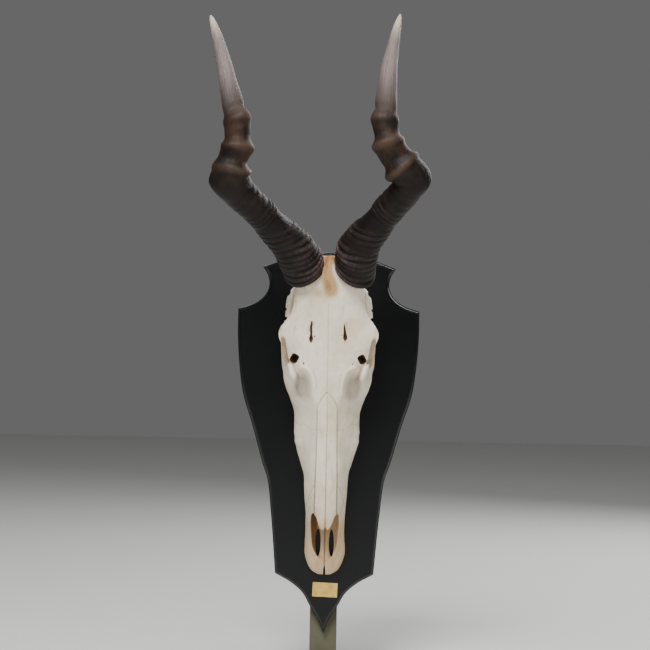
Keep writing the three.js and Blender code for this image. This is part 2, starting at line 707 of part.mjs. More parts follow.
// The plaque's outline, moved inwards by an inset
function plaqueOutline(inset) {
  const right = [];
  for (const run of PLAQUE_RUNS) {
    const curve = new THREE.CatmullRomCurve3(run.map(([x, z]) => new THREE.Vector3(x, 0, z)), false, 'centripetal');
    const steps = run.length;
    for (let i = 0; i < steps; i += 1) right.push(curve.getPoint(i / steps));
  }
  right.push(new THREE.Vector3(0, 0, PLAQUE_RUNS[3][5][1]));
  const left = right.slice(1, -1).reverse().map((p) => new THREE.Vector3(-p.x, 0, p.z));
  const outline = right.concat(left);
  const count = outline.length;
  return outline.map((p, i) => {
    const before = p.clone().sub(outline[(i + count - 1) % count]).normalize();
    const after = outline[(i + 1) % count].clone().sub(p).normalize();
    const inBefore = new THREE.Vector3(before.z, 0, -before.x);
    const inAfter = new THREE.Vector3(after.z, 0, -after.x);
    const bisector = inBefore.add(inAfter).normalize();
    const mitre = Math.max(0.5, bisector.dot(inAfter));
    return p.clone().addScaledVector(bisector, inset / mitre);
  });
}

function plaque() {
  const back = -(BAR_THICKNESS + GAP);
  const levels = [
    [back, 0.6], [back - 0.6, 0], [back - PLAQUE_EDGE_STEP, 0], [back - PLAQUE_EDGE_STEP - 1, 1],
    [back - PLAQUE_EDGE_STEP - 3.5, 1.6], [FACE_Y + 1, PLAQUE_EDGE_COVE - 1], [FACE_Y, PLAQUE_EDGE_COVE],
  ];
  const rings = levels.map(([y, inset]) => plaqueOutline(inset).map((p) => p.setY(y)));
  const sides = rings[0].length;
  const positions = [];
  const faces = [];
  rings.forEach((ring) => ring.forEach((p) => positions.push(p.x, p.y, p.z)));
  for (let r = 0; r < rings.length - 1; r += 1) {
    for (let k = 0; k < sides; k += 1) {
      const a = r * sides + k;
      const b = r * sides + (k + 1) % sides;
      faces.push(a, b, a + sides, b, b + sides, a + sides);
    }
  }
  // Each flat face is closed by strips from a right-hand point to its twin on the left
  const last = (rings.length - 1) * sides;
  for (let k = 0; k < sides / 2; k += 1) {
    const twin = (sides - k) % sides;
    const nextTwin = sides - k - 1;
    if (k > 0) faces.push(twin, k + 1, k, last + twin, last + k, last + k + 1);
    if (k + 1 < nextTwin) faces.push(twin, nextTwin, k + 1, last + twin, last + k + 1, last + nextTwin);
  }
  const geometry = new THREE.BufferGeometry();
  geometry.setAttribute('position', new THREE.Float32BufferAttribute(positions, 3));
  geometry.setIndex(faces);
  return solidOf(outward(geometry));
}

function label() {
  const plate = new THREE.BoxGeometry(LABEL_SIZE[0], LABEL_SIZE[2], LABEL_SIZE[1]);
  plate.rotateY(LABEL_TURN);
  plate.translate(LABEL_PLACE[0], FACE_Y - GAP - LABEL_SIZE[2] / 2, LABEL_PLACE[1]);
  return solidOf(plate);
}

function hangingBar() {
  const bar = new THREE.BoxGeometry(BAR_WIDTH, BAR_THICKNESS, BAR_TOP - BAR_BOTTOM);
  bar.translate(0, -BAR_THICKNESS / 2, (BAR_TOP + BAR_BOTTOM) / 2);
  return solidOf(bar);
}

function wholeSkull() {
  const face = mirrored(eyeHollow).reduce((rest, hollow) => rest.subtract(hollow), skullBody());
  const added = [face, braincase(), neckCrest(), skullBaseBar()];
  added.push(...mirrored(hornCore), ...mirrored(cheekArch), ...mirrored(earSwelling), ...mirrored(neckJoint));
  added.push(...mirrored(jugularProcess), ...mirrored(wingBone), ...mirrored(eyeRim), ...mirrored(toothRow));
  const cuts = [spineHole(), nosePassage(), ...mirrored(palateSlot), snoutNotch()];
  return cuts.reduce((rest, cut) => rest.subtract(cut), union(added));
}

const group = new THREE.Group();
const whole = wholeSkull();
const nasals = nasalRoof();
const hornLeftCut = horn(-1, HORN_LEFT_LINE, HORN_LEFT_GIRTH, HORN_KNOBS_LEFT, HORN_CORNER_LEFT, GAP);
const hornRightCut = horn(1, HORN_RIGHT_LINE, HORN_RIGHT_GIRTH, HORN_KNOBS_RIGHT, HORN_CORNER_RIGHT, GAP);
const cranium = whole.subtract(snoutZone(GAP)).subtract(nasalZone(-1, GAP)).subtract(nasalZone(1, GAP))
  .subtract(hornLeftCut).subtract(hornRightCut);
const snout = whole.intersect(snoutZone(0)).subtract(nasalZone(-1, GAP)).subtract(nasalZone(1, GAP));

group.add(meshOf('cranium', cranium, SKULL_BONE));
group.add(meshOf('nasal_left', nasals.intersect(nasalZone(-1, 0)), SKULL_BONE));
group.add(meshOf('nasal_right', nasals.intersect(nasalZone(1, 0)), SKULL_BONE));
group.add(meshOf('premaxilla_left', snout.intersect(block([-60, -5, -200], [-GAP, 120, -20])), SNOUT_BONE));
group.add(meshOf('premaxilla_right', snout.intersect(block([GAP, -5, -200], [60, 120, -20])), SNOUT_BONE));
const hornLeft = horn(-1, HORN_LEFT_LINE, HORN_LEFT_GIRTH, HORN_KNOBS_LEFT, HORN_CORNER_LEFT, 0);
const hornRight = horn(1, HORN_RIGHT_LINE, HORN_RIGHT_GIRTH, HORN_KNOBS_RIGHT, HORN_CORNER_RIGHT, 0);
group.add(meshOf('horn_left', hornLeft, HORN));
group.add(meshOf('horn_right', hornRight, HORN));
group.add(meshOf('plaque', plaque(), BLACK_SATIN));
group.add(meshOf('label', label(), BRASS));
group.add(meshOf('hanging_bar', hangingBar(), PAINTED_STEEL));

export default group;
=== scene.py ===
import math

import bpy
import numpy as np
from mathutils import Matrix, Vector, noise

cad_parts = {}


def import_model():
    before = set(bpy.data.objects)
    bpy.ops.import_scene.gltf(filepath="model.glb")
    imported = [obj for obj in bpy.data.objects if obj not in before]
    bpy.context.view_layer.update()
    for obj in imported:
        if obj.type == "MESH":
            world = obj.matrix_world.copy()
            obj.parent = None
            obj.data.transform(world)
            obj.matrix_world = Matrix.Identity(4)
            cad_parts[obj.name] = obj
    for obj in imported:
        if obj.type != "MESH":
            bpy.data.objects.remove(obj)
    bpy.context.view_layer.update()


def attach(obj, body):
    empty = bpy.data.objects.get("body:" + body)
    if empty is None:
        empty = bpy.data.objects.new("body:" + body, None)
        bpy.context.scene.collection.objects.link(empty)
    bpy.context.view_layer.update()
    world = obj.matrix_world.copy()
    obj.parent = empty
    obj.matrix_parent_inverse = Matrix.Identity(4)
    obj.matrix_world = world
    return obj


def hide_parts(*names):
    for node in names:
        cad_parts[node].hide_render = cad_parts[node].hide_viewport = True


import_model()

# All shapes are reckoned in millimetres, as x, height above the plaque's face, and z. The plaque's
# face lies at FACE_Y in the shared frame, and heights grow towards the viewer.
MM = 0.001
FACE_Y = -25.3
SIDES = (-1, 1)

# Each station gives half widths and heights of the skull across its long axis.
STATION_KEYS = ("z", "top", "roof", "drop", "brow", "brow_at", "side", "side_at", "foot", "base")
SKULL_STATIONS = [
    (-183, 13, 6, 2, 9, 11, 11, 9, 8, 6), (-177, 16, 9, 2, 15, 14, 18.5, 10, 13, 4),
    (-165, 21, 12, 2, 20, 17, 25, 12, 18, 3.5), (-151, 28, 14, 3, 24, 21, 28.2, 15, 20, 4.5),
    (-120, 48, 14, 4, 22, 34, 27.2, 22, 20, 9), (-97, 64, 14, 5, 22, 45, 27.5, 27, 20, 13),
    (-64, 74, 15, 5, 24, 52, 29.8, 29, 22, 17), (-44, 79, 15, 5, 25, 55, 30.6, 30, 25, 19),
    (-26, 84, 15, 5, 28, 57, 35.6, 31, 28, 20), (-4, 89, 14, 5, 31, 60, 42, 34, 32, 20),
    (18, 94, 14, 5, 33, 65, 44.8, 38, 34, 20), (41, 100, 14, 5, 34, 71, 45.2, 42, 35, 21),
    (63, 106, 18, 5, 38, 79, 51, 50, 37, 33), (79, 109, 24, 5, 43, 84, 57.7, 57, 43, 42),
    (92, 112, 28, 5, 44, 90, 60.6, 61, 47, 47), (108, 116, 34, 5, 48, 96, 61.6, 64, 50, 50),
    (131, 121, 43, 6, 57, 105, 62.3, 66, 50, 52), (150, 125.6, 52, 7, 65.5, 110, 63, 70, 48, 56),
    (160, 128.2, 51, 7, 64, 113, 61, 77, 46, 61), (171, 131.4, 47, 6, 57, 117, 53, 90, 42, 72),
    (183, 135, 42, 6, 50.4, 120, 47, 98, 41, 76), (198, 140, 38, 6, 47, 124, 45, 103, 41, 74),
    (215, 147, 34, 7, 46, 128, 44, 106, 41, 72), (226, 151.5, 25, 7, 43, 131, 42, 109, 38, 76),
    (236, 155, 16, 6, 38, 134, 38, 113, 32, 86), (246, 158, 8, 7, 30, 137, 31, 120, 24, 99),
    (257, 159, 4, 5, 15, 142, 16, 130, 12, 114),
]
SKULL_ROWS, SKULL_SIDES = 200, 112
SNOUT_TIP_SHARES = (0.72, 0.9, 0.97)
SKULL_TRIANGLES, SKULL_VOXEL = 192000, 0.00135

# The braincase behind the brow: z, half width, and its front and back heights
BRAINCASE_STATIONS = [
    (118, 16, 98, 52), (135, 29, 108, 42), (158, 37, 118, 31), (180, 41, 124, 23), (198, 46, 124, 18),
    (210, 49, 122, 16), (219, 47, 114, 20), (226, 40, 104, 30), (232, 27, 92, 44), (236, 12, 82, 56),
]

# Rods of bone, each a line of x, height, z, half width and half depth. The first group has a twin
# on the other side, and the second lies across the middle.
PAIRED_RODS = {
    "cheek arch": [(44, 52, 64, 3, 3), (51, 53, 86, 5, 6), (57, 57, 108, 6, 9), (59, 60, 134, 5, 8),
                   (58, 60, 158, 4, 7), (55, 59, 178, 5, 8), (50, 56, 195, 8, 10), (36, 52, 204, 9, 10)],
    "ear spur": [(39, 46, 206, 10, 10), (38, 26, 204, 6, 5), (35, 9, 200, 2.4, 2.4)],
    "palate wing": [(18, 34, 36, 6, 12), (15, 38, 64, 3.5, 14), (14, 42, 95, 3, 13), (14, 42, 124, 3.5, 8)],
    "tear knob": [(53, 96, 116, 4, 5), (50, 96, 106, 4.6, 6), (47.5, 94, 98, 5, 7), (44, 88, 90, 4, 6)],
    "temple plate": [(38, 62, 216, 7, 9), (47.5, 64, 206, 8, 11), (52, 64, 195, 7, 10), (53.5, 64, 183, 6, 9),
                     (56, 64, 170, 4.5, 8), (58, 63, 156, 3.5, 7)],
}
MIDDLE_RODS = {
    "neck crest": [(-46, 52, 204, 5, 5), (-33, 64, 222, 6, 6), (0, 74, 233, 7, 7), (33, 64, 222, 6, 6),
                   (46, 52, 204, 5, 5)],
    "skull base": [(0, 58, 84, 9, 8), (0, 46, 122, 11, 9), (0, 33, 158, 13, 9), (0, 24, 194, 16, 9),
                   (0, 24, 209, 16, 8)],
}
# Rounded bones behind the face, on both sides: name, middle and half sizes
PAIRED_SWELLINGS = [("ear swelling", (24, 30, 174), (11, 14, 18)),
                    ("neck joint", (15, 21, 213), (11, 15, 16))]

# The eye hollow is an ellipsoid, turned about the y and z axes, with a raised rim round it.
EYE_RIM = [(64.5, 108, 151), (57, 105, 131), (49.5, 96, 113), (52, 80, 105), (58.5, 67, 109),
           (61.3, 62, 128), (61.3, 64, 146), (61, 78, 157), (62.5, 97, 159)]
EYE_RIM_THICKNESS = 3.2
EYE_CENTRE, EYE_HALF, EYE_TURN = (66, 83, 131), (44, 19, 24), (0.32, -0.1)
# The hole at the front corner of each eye, and the x and z of the stain round it
EYE_HOLE_PLACE, EYE_HOLE_SIZE = (45.6, 109, 119.4), (10.8, 30, 12.6)
EYE_HOLE_CORNER, EYE_HOLE_TURN, EYE_HOLE_STAIN = 3.4, -0.5, (45.4, 119.4)
# The band of bone that shows beyond the brow: z, and x of its edge
BAND_EDGE = [(108, 50.5), (115, 52.5), (131, 55.5), (142, 57.5), (154, 60.5)]
BAND_WIDTH, BAND_DEPTH = 5.6, 1.1

# The passage behind the nostrils: z, half width, floor and roof
NOSE_PASSAGE = [(-170, 3, 21, 60), (-163, 7, 18.5, 60), (-155, 12.5, 14, 60), (-140, 19, 12, 80),
                (-118, 20, 15, 90), (-99, 19, 19, 90), (-90, 16, 24, 60), (-60, 12, 32, 62), (-30, 7, 42, 60)]

# The pit before each eye: its middle in x and z, half width, half length, depth and edge ridge
PIT_X, PIT_Z, PIT_HALF, PIT_LENGTH, PIT_DEPTH, PIT_RIDGE = 35, 80, 14.5, 25, 9.5, 3.0
# Swellings and dips of the face, the same on both sides: x, z, half width, half length, height. The
# small ones stand on the bumps at the front of the cheeks.
FACE_SWELLINGS = [(43, 4, 8, 9, 3.6), (33, -9, 7, 10, -3.2), (48, 92, 5, 7, 2), (22, 150, 9, 14, -1.2),
                  (0, 185, 22, 24, 2), (15, 60, 6, 22, 1.2), (22, 128, 10, 16, 0.8)]
SMALL_SWELLINGS = [(45, 4, 6, 5, 1.1), (44, 17, 7, 4, 0.7)]

# The slots in the brow, one on each side: z, x, half width, and the heights they reach between
BROW_SLOTS = {
    "left brow slot": [(141, -23.6, 0.9, 118.5, 123), (146, -23.6, 2.7, 114, 130),
                       (152, -23.3, 1.5, 118.5, 128), (162, -23.5, 1.4, 122, 130),
                       (170, -22.6, 0.6, 126, 131)],
    "right brow slot": [(144, 22.4, 1.0, 119, 124), (148.5, 22.3, 3.0, 114, 131), (154, 21.8, 2.3, 118, 130),
                        (160, 21.2, 1.6, 122, 130), (167, 20.8, 0.6, 125.5, 130)],
}
# The bone's unevenness: how fine it and the pores are, and how high it is
ROUGH_SCALE, PORE_SCALE, ROUGH_HEIGHT = 60, 330, 0.42

# Small rounded openings: name, middle, half sizes and fineness. The second group is on both sides.
OPENINGS = [("left brow pore", (-18.6, 122, 149.5), (1.2, 4, 1.3), 8),
            ("right brow pore", (17.6, 122.5, 152), (1.2, 4, 1.3), 8),
            ("front notch", (0, 12, -182), (1.8, 30, 13), 16), ("spine hole", (0, 30, 228), (13, 12, 26), 24)]
PAIRED_OPENINGS = [("palate slot", (9.4, 10, -138), (3.7, 30, 20.5), 24),
                   ("tear pore", (33, 112, 113), (1.0, 5, 1.6), 8)]
# Bites out of the ragged edge of the temples, as x, z and size
TEMPLE_NOTCHES = [(59.5, 209, 7), (61.0, 195.5, 2.6), (60.4, 186, 2.9), (60.0, 173, 3.8)]

# Seams between the bones of the face: a line of x and z, how deep and how dark. Those that lie along
# the face waver less than those across it.
SEAM_WAVER_ALONG, SEAM_WAVER_ACROSS, SEAM_WIDTH = 0.3, 1.3, 0.75
SEAMS = [
    ([(-0.7, 74), (-9, 64), (-13.6, 54), (-13.5, 21), (-14.8, -45), (-15.4, -95)], 0.5, 0.9),
    ([(-0.7, 74), (9, 64), (14.2, 54), (14.2, 21), (15.4, -45), (15.6, -95)], 0.5, 0.8),
    ([(-0.7, 74), (0.6, 43), (0, 0), (0, -41), (0.2, -80), (0, -116)], 0.45, 0.75),
    ([(-1.2, 194), (-0.6, 160), (-0.4, 128), (-0.7, 74)], 0.15, 0.35),
    ([(-46, 34), (-38, 27), (-30, 29), (-22, 22), (-14, 23)], 0.2, 0.42),
    ([(46, 34), (40, 29), (33, 30), (24, 22), (14, 23)], 0.2, 0.42),
    ([(0, -118), (0, -150), (0, -172)], 0.8, 1.0),
]
# The last of each is the seam on the snout's sides, which slants through this z and height.
SNOUT_SEAM_Z, SNOUT_SEAM_HEIGHT, SNOUT_SEAM_SLOPE, SNOUT_SEAM_SHARE = -62, 62, 56 / 62, 0.74
# Further from a seam than any that counts
FAR_OFF = 1e3
SEAM_DEPTHS = [depth for _, depth, _ in SEAMS] + [0.35]
SEAM_DARKNESS = [dark for _, _, dark in SEAMS] + [0.5]

# Cheek teeth, second premolar to third molar: length along the row and width
TEETH = [(11, 10), (13, 12), (14, 13), (17, 15), (20, 16), (21, 15)]
TOOTH_ROW_START, TOOTH_ROW_NEAR, TOOTH_ROW_FAR = -54, 24, 31
TOOTH_GAP, TOOTH_FOOT, TOOTH_SIDES = 0.5, 0.5, 48
# How full a tooth is at each height over its biting edge
TOOTH_LEVELS = [(0.2, 0.9), (0.8, 0.97), (2.2, 1), (5, 1.02), (12, 1), (20, 0.95), (27, 0.9)]

# The nasal bones: the places along z of their top, of the notch beside them and of their tip; how thick
# they are, how far their tips stand apart and the bones over the face; and the pair's half width at each z
NASAL_TOP, NASAL_NOTCH, NASAL_TIP = 74, -95, -116
NASAL_THICKNESS, NASAL_TIP_THICKNESS, NASAL_TIP_GAP, NASAL_LIFT, NASAL_COLUMNS = 6, 3.4, 1.2, 0.7, 9
NASAL_EDGE = [(-116, 5.5), (-108, 9.5), (-97, 13.4), (-95.5, 15.2), (-64, 15.3), (-20, 14.4), (18, 14),
              (52, 13.4), (64, 9), (74, 1.5)]

# Each horn has a line of x, height and z, and a girth of distance along it and radius. Its three thick
# ridges are given by place, height and reach before and after, and so is the corner of its bend.
HORN_LEFT = {
    "line": [(-33, 135, 239), (-47, 160, 264), (-79.5, 190, 297), (-102, 216, 319), (-120.5, 236, 336),
             (-129, 249, 349), (-129, 257, 361), (-126, 261, 376), (-122, 263, 392), (-121, 263, 410),
             (-123, 261, 427), (-128, 257, 444), (-134, 249, 470), (-141, 238, 498), (-148, 226, 524),
             (-155, 213, 547), (-162, 202, 567)],
    "girth": [(0, 30), (40, 26.3), (90, 22), (130, 20), (160, 20.7), (184, 24), (200, 22.6), (218, 20),
              (250, 17), (285, 14), (311, 12.2), (341, 10.4), (366, 8.8), (389, 6.8), (409, 4.8), (424, 2.4)],
    "knobs": [(203, 5.0, 4.4, 6.5), (233, 4.6, 7, 5), (267, 3.4, 7.5, 7)], "corner": (189, 5, 7, 7),
}
HORN_RIGHT = {
    "line": [(33, 135, 239), (37, 160, 266), (57.5, 187, 295), (73.5, 206, 314), (86, 222, 329),
             (97, 238, 342), (103, 251, 356), (90.5, 259, 370), (79, 264, 385), (72, 266, 400),
             (68, 265, 415), (67, 262, 430), (68, 258, 446), (69, 250, 469), (71, 241, 494),
             (75, 229, 519), (80, 215, 546), (86, 202, 573)],
    "girth": [(0, 30), (40, 27), (80, 22.3), (112, 20.2), (140, 19.6), (160, 19.2), (182, 21.5), (202, 23),
              (224, 20), (250, 17), (282, 14.3), (308, 12.8), (347, 10.4), (369, 8.4), (388, 6.7),
              (406, 5.1), (423, 2.4)],
    "knobs": [(203, 5.2, 4.4, 6.5), (238, 4.8, 7.5, 5), (268, 3.4, 7.5, 7)], "corner": (181, 3.8, 8, 6),
}
HORN_BASE_NORMAL, HORN_BASE_TURN = (0.42, 0.72, 0.55), 70
HORN_SIDES, HORN_ROW_STEP, HORN_CORNER_SPREAD, HORN_TIP = 96, 0.8, 0.85, 6
HORN_RING_COUNT = 11
# Weaker rings between the lower ones and the bend: place, height and half width
HORN_WEAK_RINGS = [(108, 1.5, 3.0), (114.5, 2.0, 3.0), (121.5, 1.6, 3.4), (134, 1.0, 4.5), (147, 0.9, 4),
                   (158, 1.0, 4.5)]
# The bony core that each horn stands on: its length, and its radius along it
HORN_CORE_LENGTH, HORN_CORE_GIRTH = 34, [(0, 14), (0.4, 18), (0.7, 21), (0.88, 24.5), (1, 27)]

# Half of the plaque's outline, in runs between its corners, from the top to its point
PLAQUE_RUNS = [
    [(0, 267), (40, 262), (72, 253), (93, 245)],
    [(93, 245), (86, 233), (84, 221), (87, 210), (95, 200), (108, 192), (127, 186)],
    [(127, 186), (127, 150), (124, 106), (118, 66), (105, 25), (90, -28), (82, -52), (76, -102), (69, -184)],
    [(69, -184), (46, -197), (30, -211), (20, -228), (8, -247), (0, -267)],
]
PLAQUE_BACK, PLAQUE_EDGE_STEP, POINT_REACH = -5.3, 13, 40
# The moulding from the outer edge in to the flat face: each step's width and rise
EDGE_MOULDING = [(0.25, 0.05), (0.35, 0.2), (0.3, 0.45), (0.1, 0.4), (0.5, 0.02), (0.1, 1.18), (0.2, 1.1),
                 (0.4, 1.1), (0.7, 1.0), (0.8, 0.75), (0.5, 0.45), (0.3, 0.3)]
LABEL_SIZE, LABEL_PLACE, LABEL_TURN, LABEL_GAP = (35, 20, 0.8), (1.5, -205.5), math.radians(2), 0.3
PIN_FROM_END, PIN_HALF = 2, (0.9, 0.45, 0.9)
BAR_WIDTH, BAR_THICKNESS, BAR_TOP, BAR_BOTTOM = 38, 5, 90, -318


# Plain reckoning

def between(rows, x, column=1):
    """Smooth value at x between rows that rise in their first number, without overshoot."""
    rows = np.asarray(rows, float)
    xs, ys = rows[:, 0], rows[:, column]
    slope = np.diff(ys) / np.diff(xs)
    product = slope[:-1] * slope[1:]
    inner = np.where(product > 0, 2 * product / (slope[:-1] + slope[1:] + 1e-12), 0)
    tangent = np.concatenate([slope[:1], inner, slope[-1:]])
    x = np.clip(x, xs[0], xs[-1])
    i = np.clip(np.searchsorted(xs, x, side="right") - 1, 0, len(xs) - 2)
    width = xs[i + 1] - xs[i]
    t = (x - xs[i]) / width
    share = t * t * (3 - 2 * t)
    ends = t * (1 - t) ** 2 * width * tangent[i] + t * t * (t - 1) * width * tangent[i + 1]
    return ys[i] + share * (ys[i + 1] - ys[i]) + ends


def curve_through(stops, shares, closed=False):
    """Points on a smooth curve through the stops, where shares count the spans passed."""
    stops = np.asarray(stops, float)
    if closed:
        before, after = stops[-1:], stops[:2]
    else:
        before, after = 2 * stops[:1] - stops[1:2], 2 * stops[-1:] - stops[-2:-1]
    chain = np.concatenate([before, stops, after])
    spans = len(stops) if closed else len(stops) - 1
    i = np.clip(np.floor(shares).astype(int), 0, spans - 1)
    t = (np.asarray(shares) - i)[:, None]
    p0, p1, p2, p3 = (chain[i + k] for k in range(4))
    gap = [np.maximum(np.linalg.norm(b - a, axis=1), 1e-6)[:, None] ** 0.5
           for a, b in ((p0, p1), (p1, p2), (p2, p3))]
    start = ((p1 - p0) / gap[0] - (p2 - p0) / (gap[0] + gap[1]) + (p2 - p1) / gap[1]) * gap[1]
    end = ((p2 - p1) / gap[1] - (p3 - p1) / (gap[1] + gap[2]) + (p3 - p2) / gap[2]) * gap[1]
    curved = (2 * p1 - 2 * p2 + start + end) * t ** 3 + (3 * p2 - 3 * p1 - 2 * start - end) * t ** 2
    return curved + start * t + p1


def even_curve(stops, step, closed=False):
    """Points about a step apart along the smooth curve, with their distances from its start."""
    spans = len(stops) if closed else len(stops) - 1
    fine = curve_through(stops, np.linspace(0, spans, spans * 60 + 1), closed)
    run = np.concatenate([[0], np.cumsum(np.linalg.norm(np.diff(fine, axis=0), axis=1))])
    wanted = np.linspace(0, run[-1], max(3, round(run[-1] / step) + 1))
    return np.stack([np.interp(wanted, run, fine[:, k]) for k in range(fine.shape[1])], 1), wanted


def fade(value, low, high):
    """0 below low, 1 above high, and smooth between."""
    t = np.clip((value - low) / (high - low), 0, 1)
    return t * t * (3 - 2 * t)


def hump(value, middle, width):
    """1 at the middle, and falling off smoothly on both sides over the width."""
    return np.exp(-((value - middle) / width) ** 2)


def spots(x, z, rows, start=0):
    """Rounded spots on the face added to a start: each a middle in x and z, two half sizes and a height."""
    for px, pz, half, length, height in rows:
        start = start + height * hump(x, px, half) * hump(z, pz, length)
    return start


def unit(vectors):
    return vectors / np.maximum(np.linalg.norm(vectors, axis=-1, keepdims=True), 1e-9)


def world(points):
    """Metres in the shared frame, from x, height and z in millimetres."""
    points = np.asarray(points, float)
    return np.stack([points[..., 0], FACE_Y - points[..., 1], points[..., 2]], -1) * MM


# Handling pieces

def alone(piece):
    """Makes one piece the only one selected, and the active one."""
    bpy.ops.object.select_all(action="DESELECT")
    piece.select_set(True)
    bpy.context.view_layer.objects.active = piece


def started(name, add, **settings):
    """A new primitive under its name, made with nothing else selected."""
    bpy.ops.object.select_all(action="DESELECT")
    add(**settings)
    bpy.context.object.name = name
    return bpy.context.object


def edit(piece, *steps):
    """Runs steps on a piece in edit mode with everything selected."""
    alone(piece)
    bpy.ops.object.mode_set(mode="EDIT")
    bpy.ops.mesh.select_all(action="SELECT")
    for step in steps:
        step()
    bpy.ops.object.mode_set(mode="OBJECT")


def points_of(piece, what="co"):
    """The place of each point, or the way that it faces where "normal" is asked for."""
    found = np.empty(len(piece.data.vertices) * 3)
    piece.data.vertices.foreach_get(what, found)
    return found.reshape(-1, 3)


def move_points(piece, places):
    piece.data.vertices.foreach_set("co", np.asarray(places, float).ravel())
    piece.data.update()


def put_mark(piece, name, values):
    """Keeps one number for each point, for the materials to read."""
    mark = piece.data.attributes.get(name) or piece.data.attributes.new(name, "FLOAT", "POINT")
    mark.data.foreach_set("value", np.asarray(values, np.float32).ravel())


def modified(piece, kind, **settings):
    """The piece with one modifier put on it and applied."""
    alone(piece)
    modifier = piece.modifiers.new(kind.lower(), kind)
    for key, value in settings.items():
        setattr(modifier, key, value)
    bpy.ops.object.modifier_apply(modifier=modifier.name)
    return piece


def joined(name, pieces):
    """Several pieces made into one, under a new name."""
    bpy.ops.object.select_all(action="DESELECT")
    for piece in pieces:
        piece.select_set(True)
    bpy.context.view_layer.objects.active = pieces[0]
    bpy.ops.object.join()
    pieces[0].name = name
    return pieces[0]


def cut_away(piece, cutter):
    """The piece without what the cutter takes away. The cutter is used up."""
    modified(piece, "BOOLEAN", operation="DIFFERENCE", object=cutter, solver="EXACT")
    bpy.data.objects.remove(cutter)
    return piece


def ring_band(name, rings, closed=True, marks=None):
    """A skin wrapped from a flat grid over rings of points: closed at its ends or left open there.
    Marks are named numbers for each point of the rings, kept on the skin."""
    rows, sides = rings.shape[:2]
    grid = {"x_subdivisions": sides, "y_subdivisions": rows - 1, "size": 1}
    piece = started(name, bpy.ops.mesh.primitive_grid_add, **grid)
    flat = points_of(piece) + 0.5
    across = np.rint(flat[:, 0] * sides).astype(int) % sides
    along = np.rint(flat[:, 1] * (rows - 1)).astype(int)
    move_points(piece, world(rings[along, across]))
    for mark, values in (marks or {}).items():
        put_mark(piece, mark, values[along, across])
    edit(piece, lambda: bpy.ops.mesh.remove_doubles(threshold=1e-6))
    if closed:
        edit(piece, lambda: bpy.ops.mesh.normals_make_consistent(inside=False))
    return piece


def sleeve(name, rings, marks=None):
    """A closed skin over rings of points, with its ends drawn together to a point each."""
    ends = rings[[0, -1]].mean(axis=1, keepdims=True).repeat(rings.shape[1], axis=1)
    full = {mark: np.concatenate([values[:1], values, values[-1:]]) for mark, values in (marks or {}).items()}
    return ring_band(name, np.concatenate([ends[:1], rings, ends[1:]]), marks=full)


def rings_along(line, across, wide, half, depth, sides):
    """Elliptic rings round a line, with their two axes given at each point."""
    angle = np.linspace(0, 2 * math.pi, sides, endpoint=False)[None, :, None]
    aside = half[:, None, None] * np.cos(angle) * across[:, None]
    return line[:, None] + (aside + depth[:, None, None] * np.sin(angle) * wide[:, None])


def rod(name, rows, side=1, sides=24, step=2.0):
    """A rod of changing elliptic section with rounded ends."""
    rows = np.asarray(rows, float) * [side, 1, 1, 1, 1]
    share = np.linspace(0, len(rows) - 1, max(8, int(np.ptp(rows[:, 2]) / step) + 8))
    line = curve_through(rows[:, :3], share)
    along = unit(np.gradient(line, axis=0))
    wide = unit(np.cross([1.0, 0, 0], along))
    across = unit(np.cross(wide, along))
    knots = np.column_stack([np.arange(len(rows)), rows[:, 3:]])
    half, depth = between(knots, share), between(knots, share, 2)
    ends = np.sqrt(np.clip(np.minimum(share, len(rows) - 1 - share) * 3 + 0.15, 0, 1))
    return sleeve(name, rings_along(line, across, wide, half * ends, depth * ends, sides))


def ball(name, centre, half, turn=None, detail=24):
    """An ellipsoid with half sizes along x, height and z."""
    sphere = {"segments": detail * 2, "ring_count": detail, "radius": 1}
    piece = started(name, bpy.ops.mesh.primitive_uv_sphere_add, **sphere)
    place = Matrix.Translation(Vector(world(centre))) @ (turn or Matrix.Identity(4))
    piece.data.transform(place @ Matrix.Diagonal((*[h * MM for h in half], 1)))
    return piece


def upright_tube(name, rows, count, sides):
    """An upright elliptic tube through rows of z, x, half width, and the heights it reaches between."""
    rows = np.asarray(rows, float)
    zs = np.linspace(rows[0, 0], rows[-1, 0], count)
    x, half, low, high = (between(rows, zs, k) for k in (1, 2, 3, 4))
    line = np.stack([x, (low + high) / 2, zs], 1)
    across, wide = (np.tile(axis, (count, 1)) for axis in ([1.0, 0, 0], [0, 1.0, 0]))
    return sleeve(name, rings_along(line, across, wide, half, (high - low) / 2, sides))


# The skull

def skull_rings():
    """Rings round the skull's body, each a smooth curve through the points of its station."""
    zs = np.linspace(SKULL_STATIONS[0][0], SKULL_STATIONS[-1][0], SKULL_ROWS + 1)
    s = {key: between(SKULL_STATIONS, zs, k) for k, key in enumerate(STATION_KEYS)}
    half = [
        (0 * zs, s["top"]), (s["roof"] * 0.55, s["top"] - s["drop"] * 0.25),
        (s["roof"], s["top"] - s["drop"]), (s["brow"], s["brow_at"]), (s["side"], s["side_at"]),
        (s["foot"] + (s["side"] - s["foot"]) * 0.4, s["base"] + (s["side_at"] - s["base"]) * 0.2),
        (s["foot"] * 0.6, s["base"]), (0 * zs, s["base"] + 2),
    ]
    stops = half + [(-x, height) for x, height in half[-2:0:-1]]
    shares = np.arange(SKULL_SIDES) * len(stops) / SKULL_SIDES
    rings = np.empty((len(zs), SKULL_SIDES, 3))
    for row, z in enumerate(zs):
        ring = curve_through([(x[row], height[row], z) for x, height in stops], shares, closed=True)
        facing = fade(ring[:, 1], s["side_at"][row] - 8, s["side_at"][row] + 12)
        ring[:, 1] += face_relief(ring[:, 0], z) * facing
        rings[row] = ring
    # The tip of the snout is rounded off
    for row, share in enumerate(SNOUT_TIP_SHARES):
        middle = rings[row].mean(axis=0)
        rings[row] = middle + (rings[row] - middle) * [share, share, 1]
    return rings


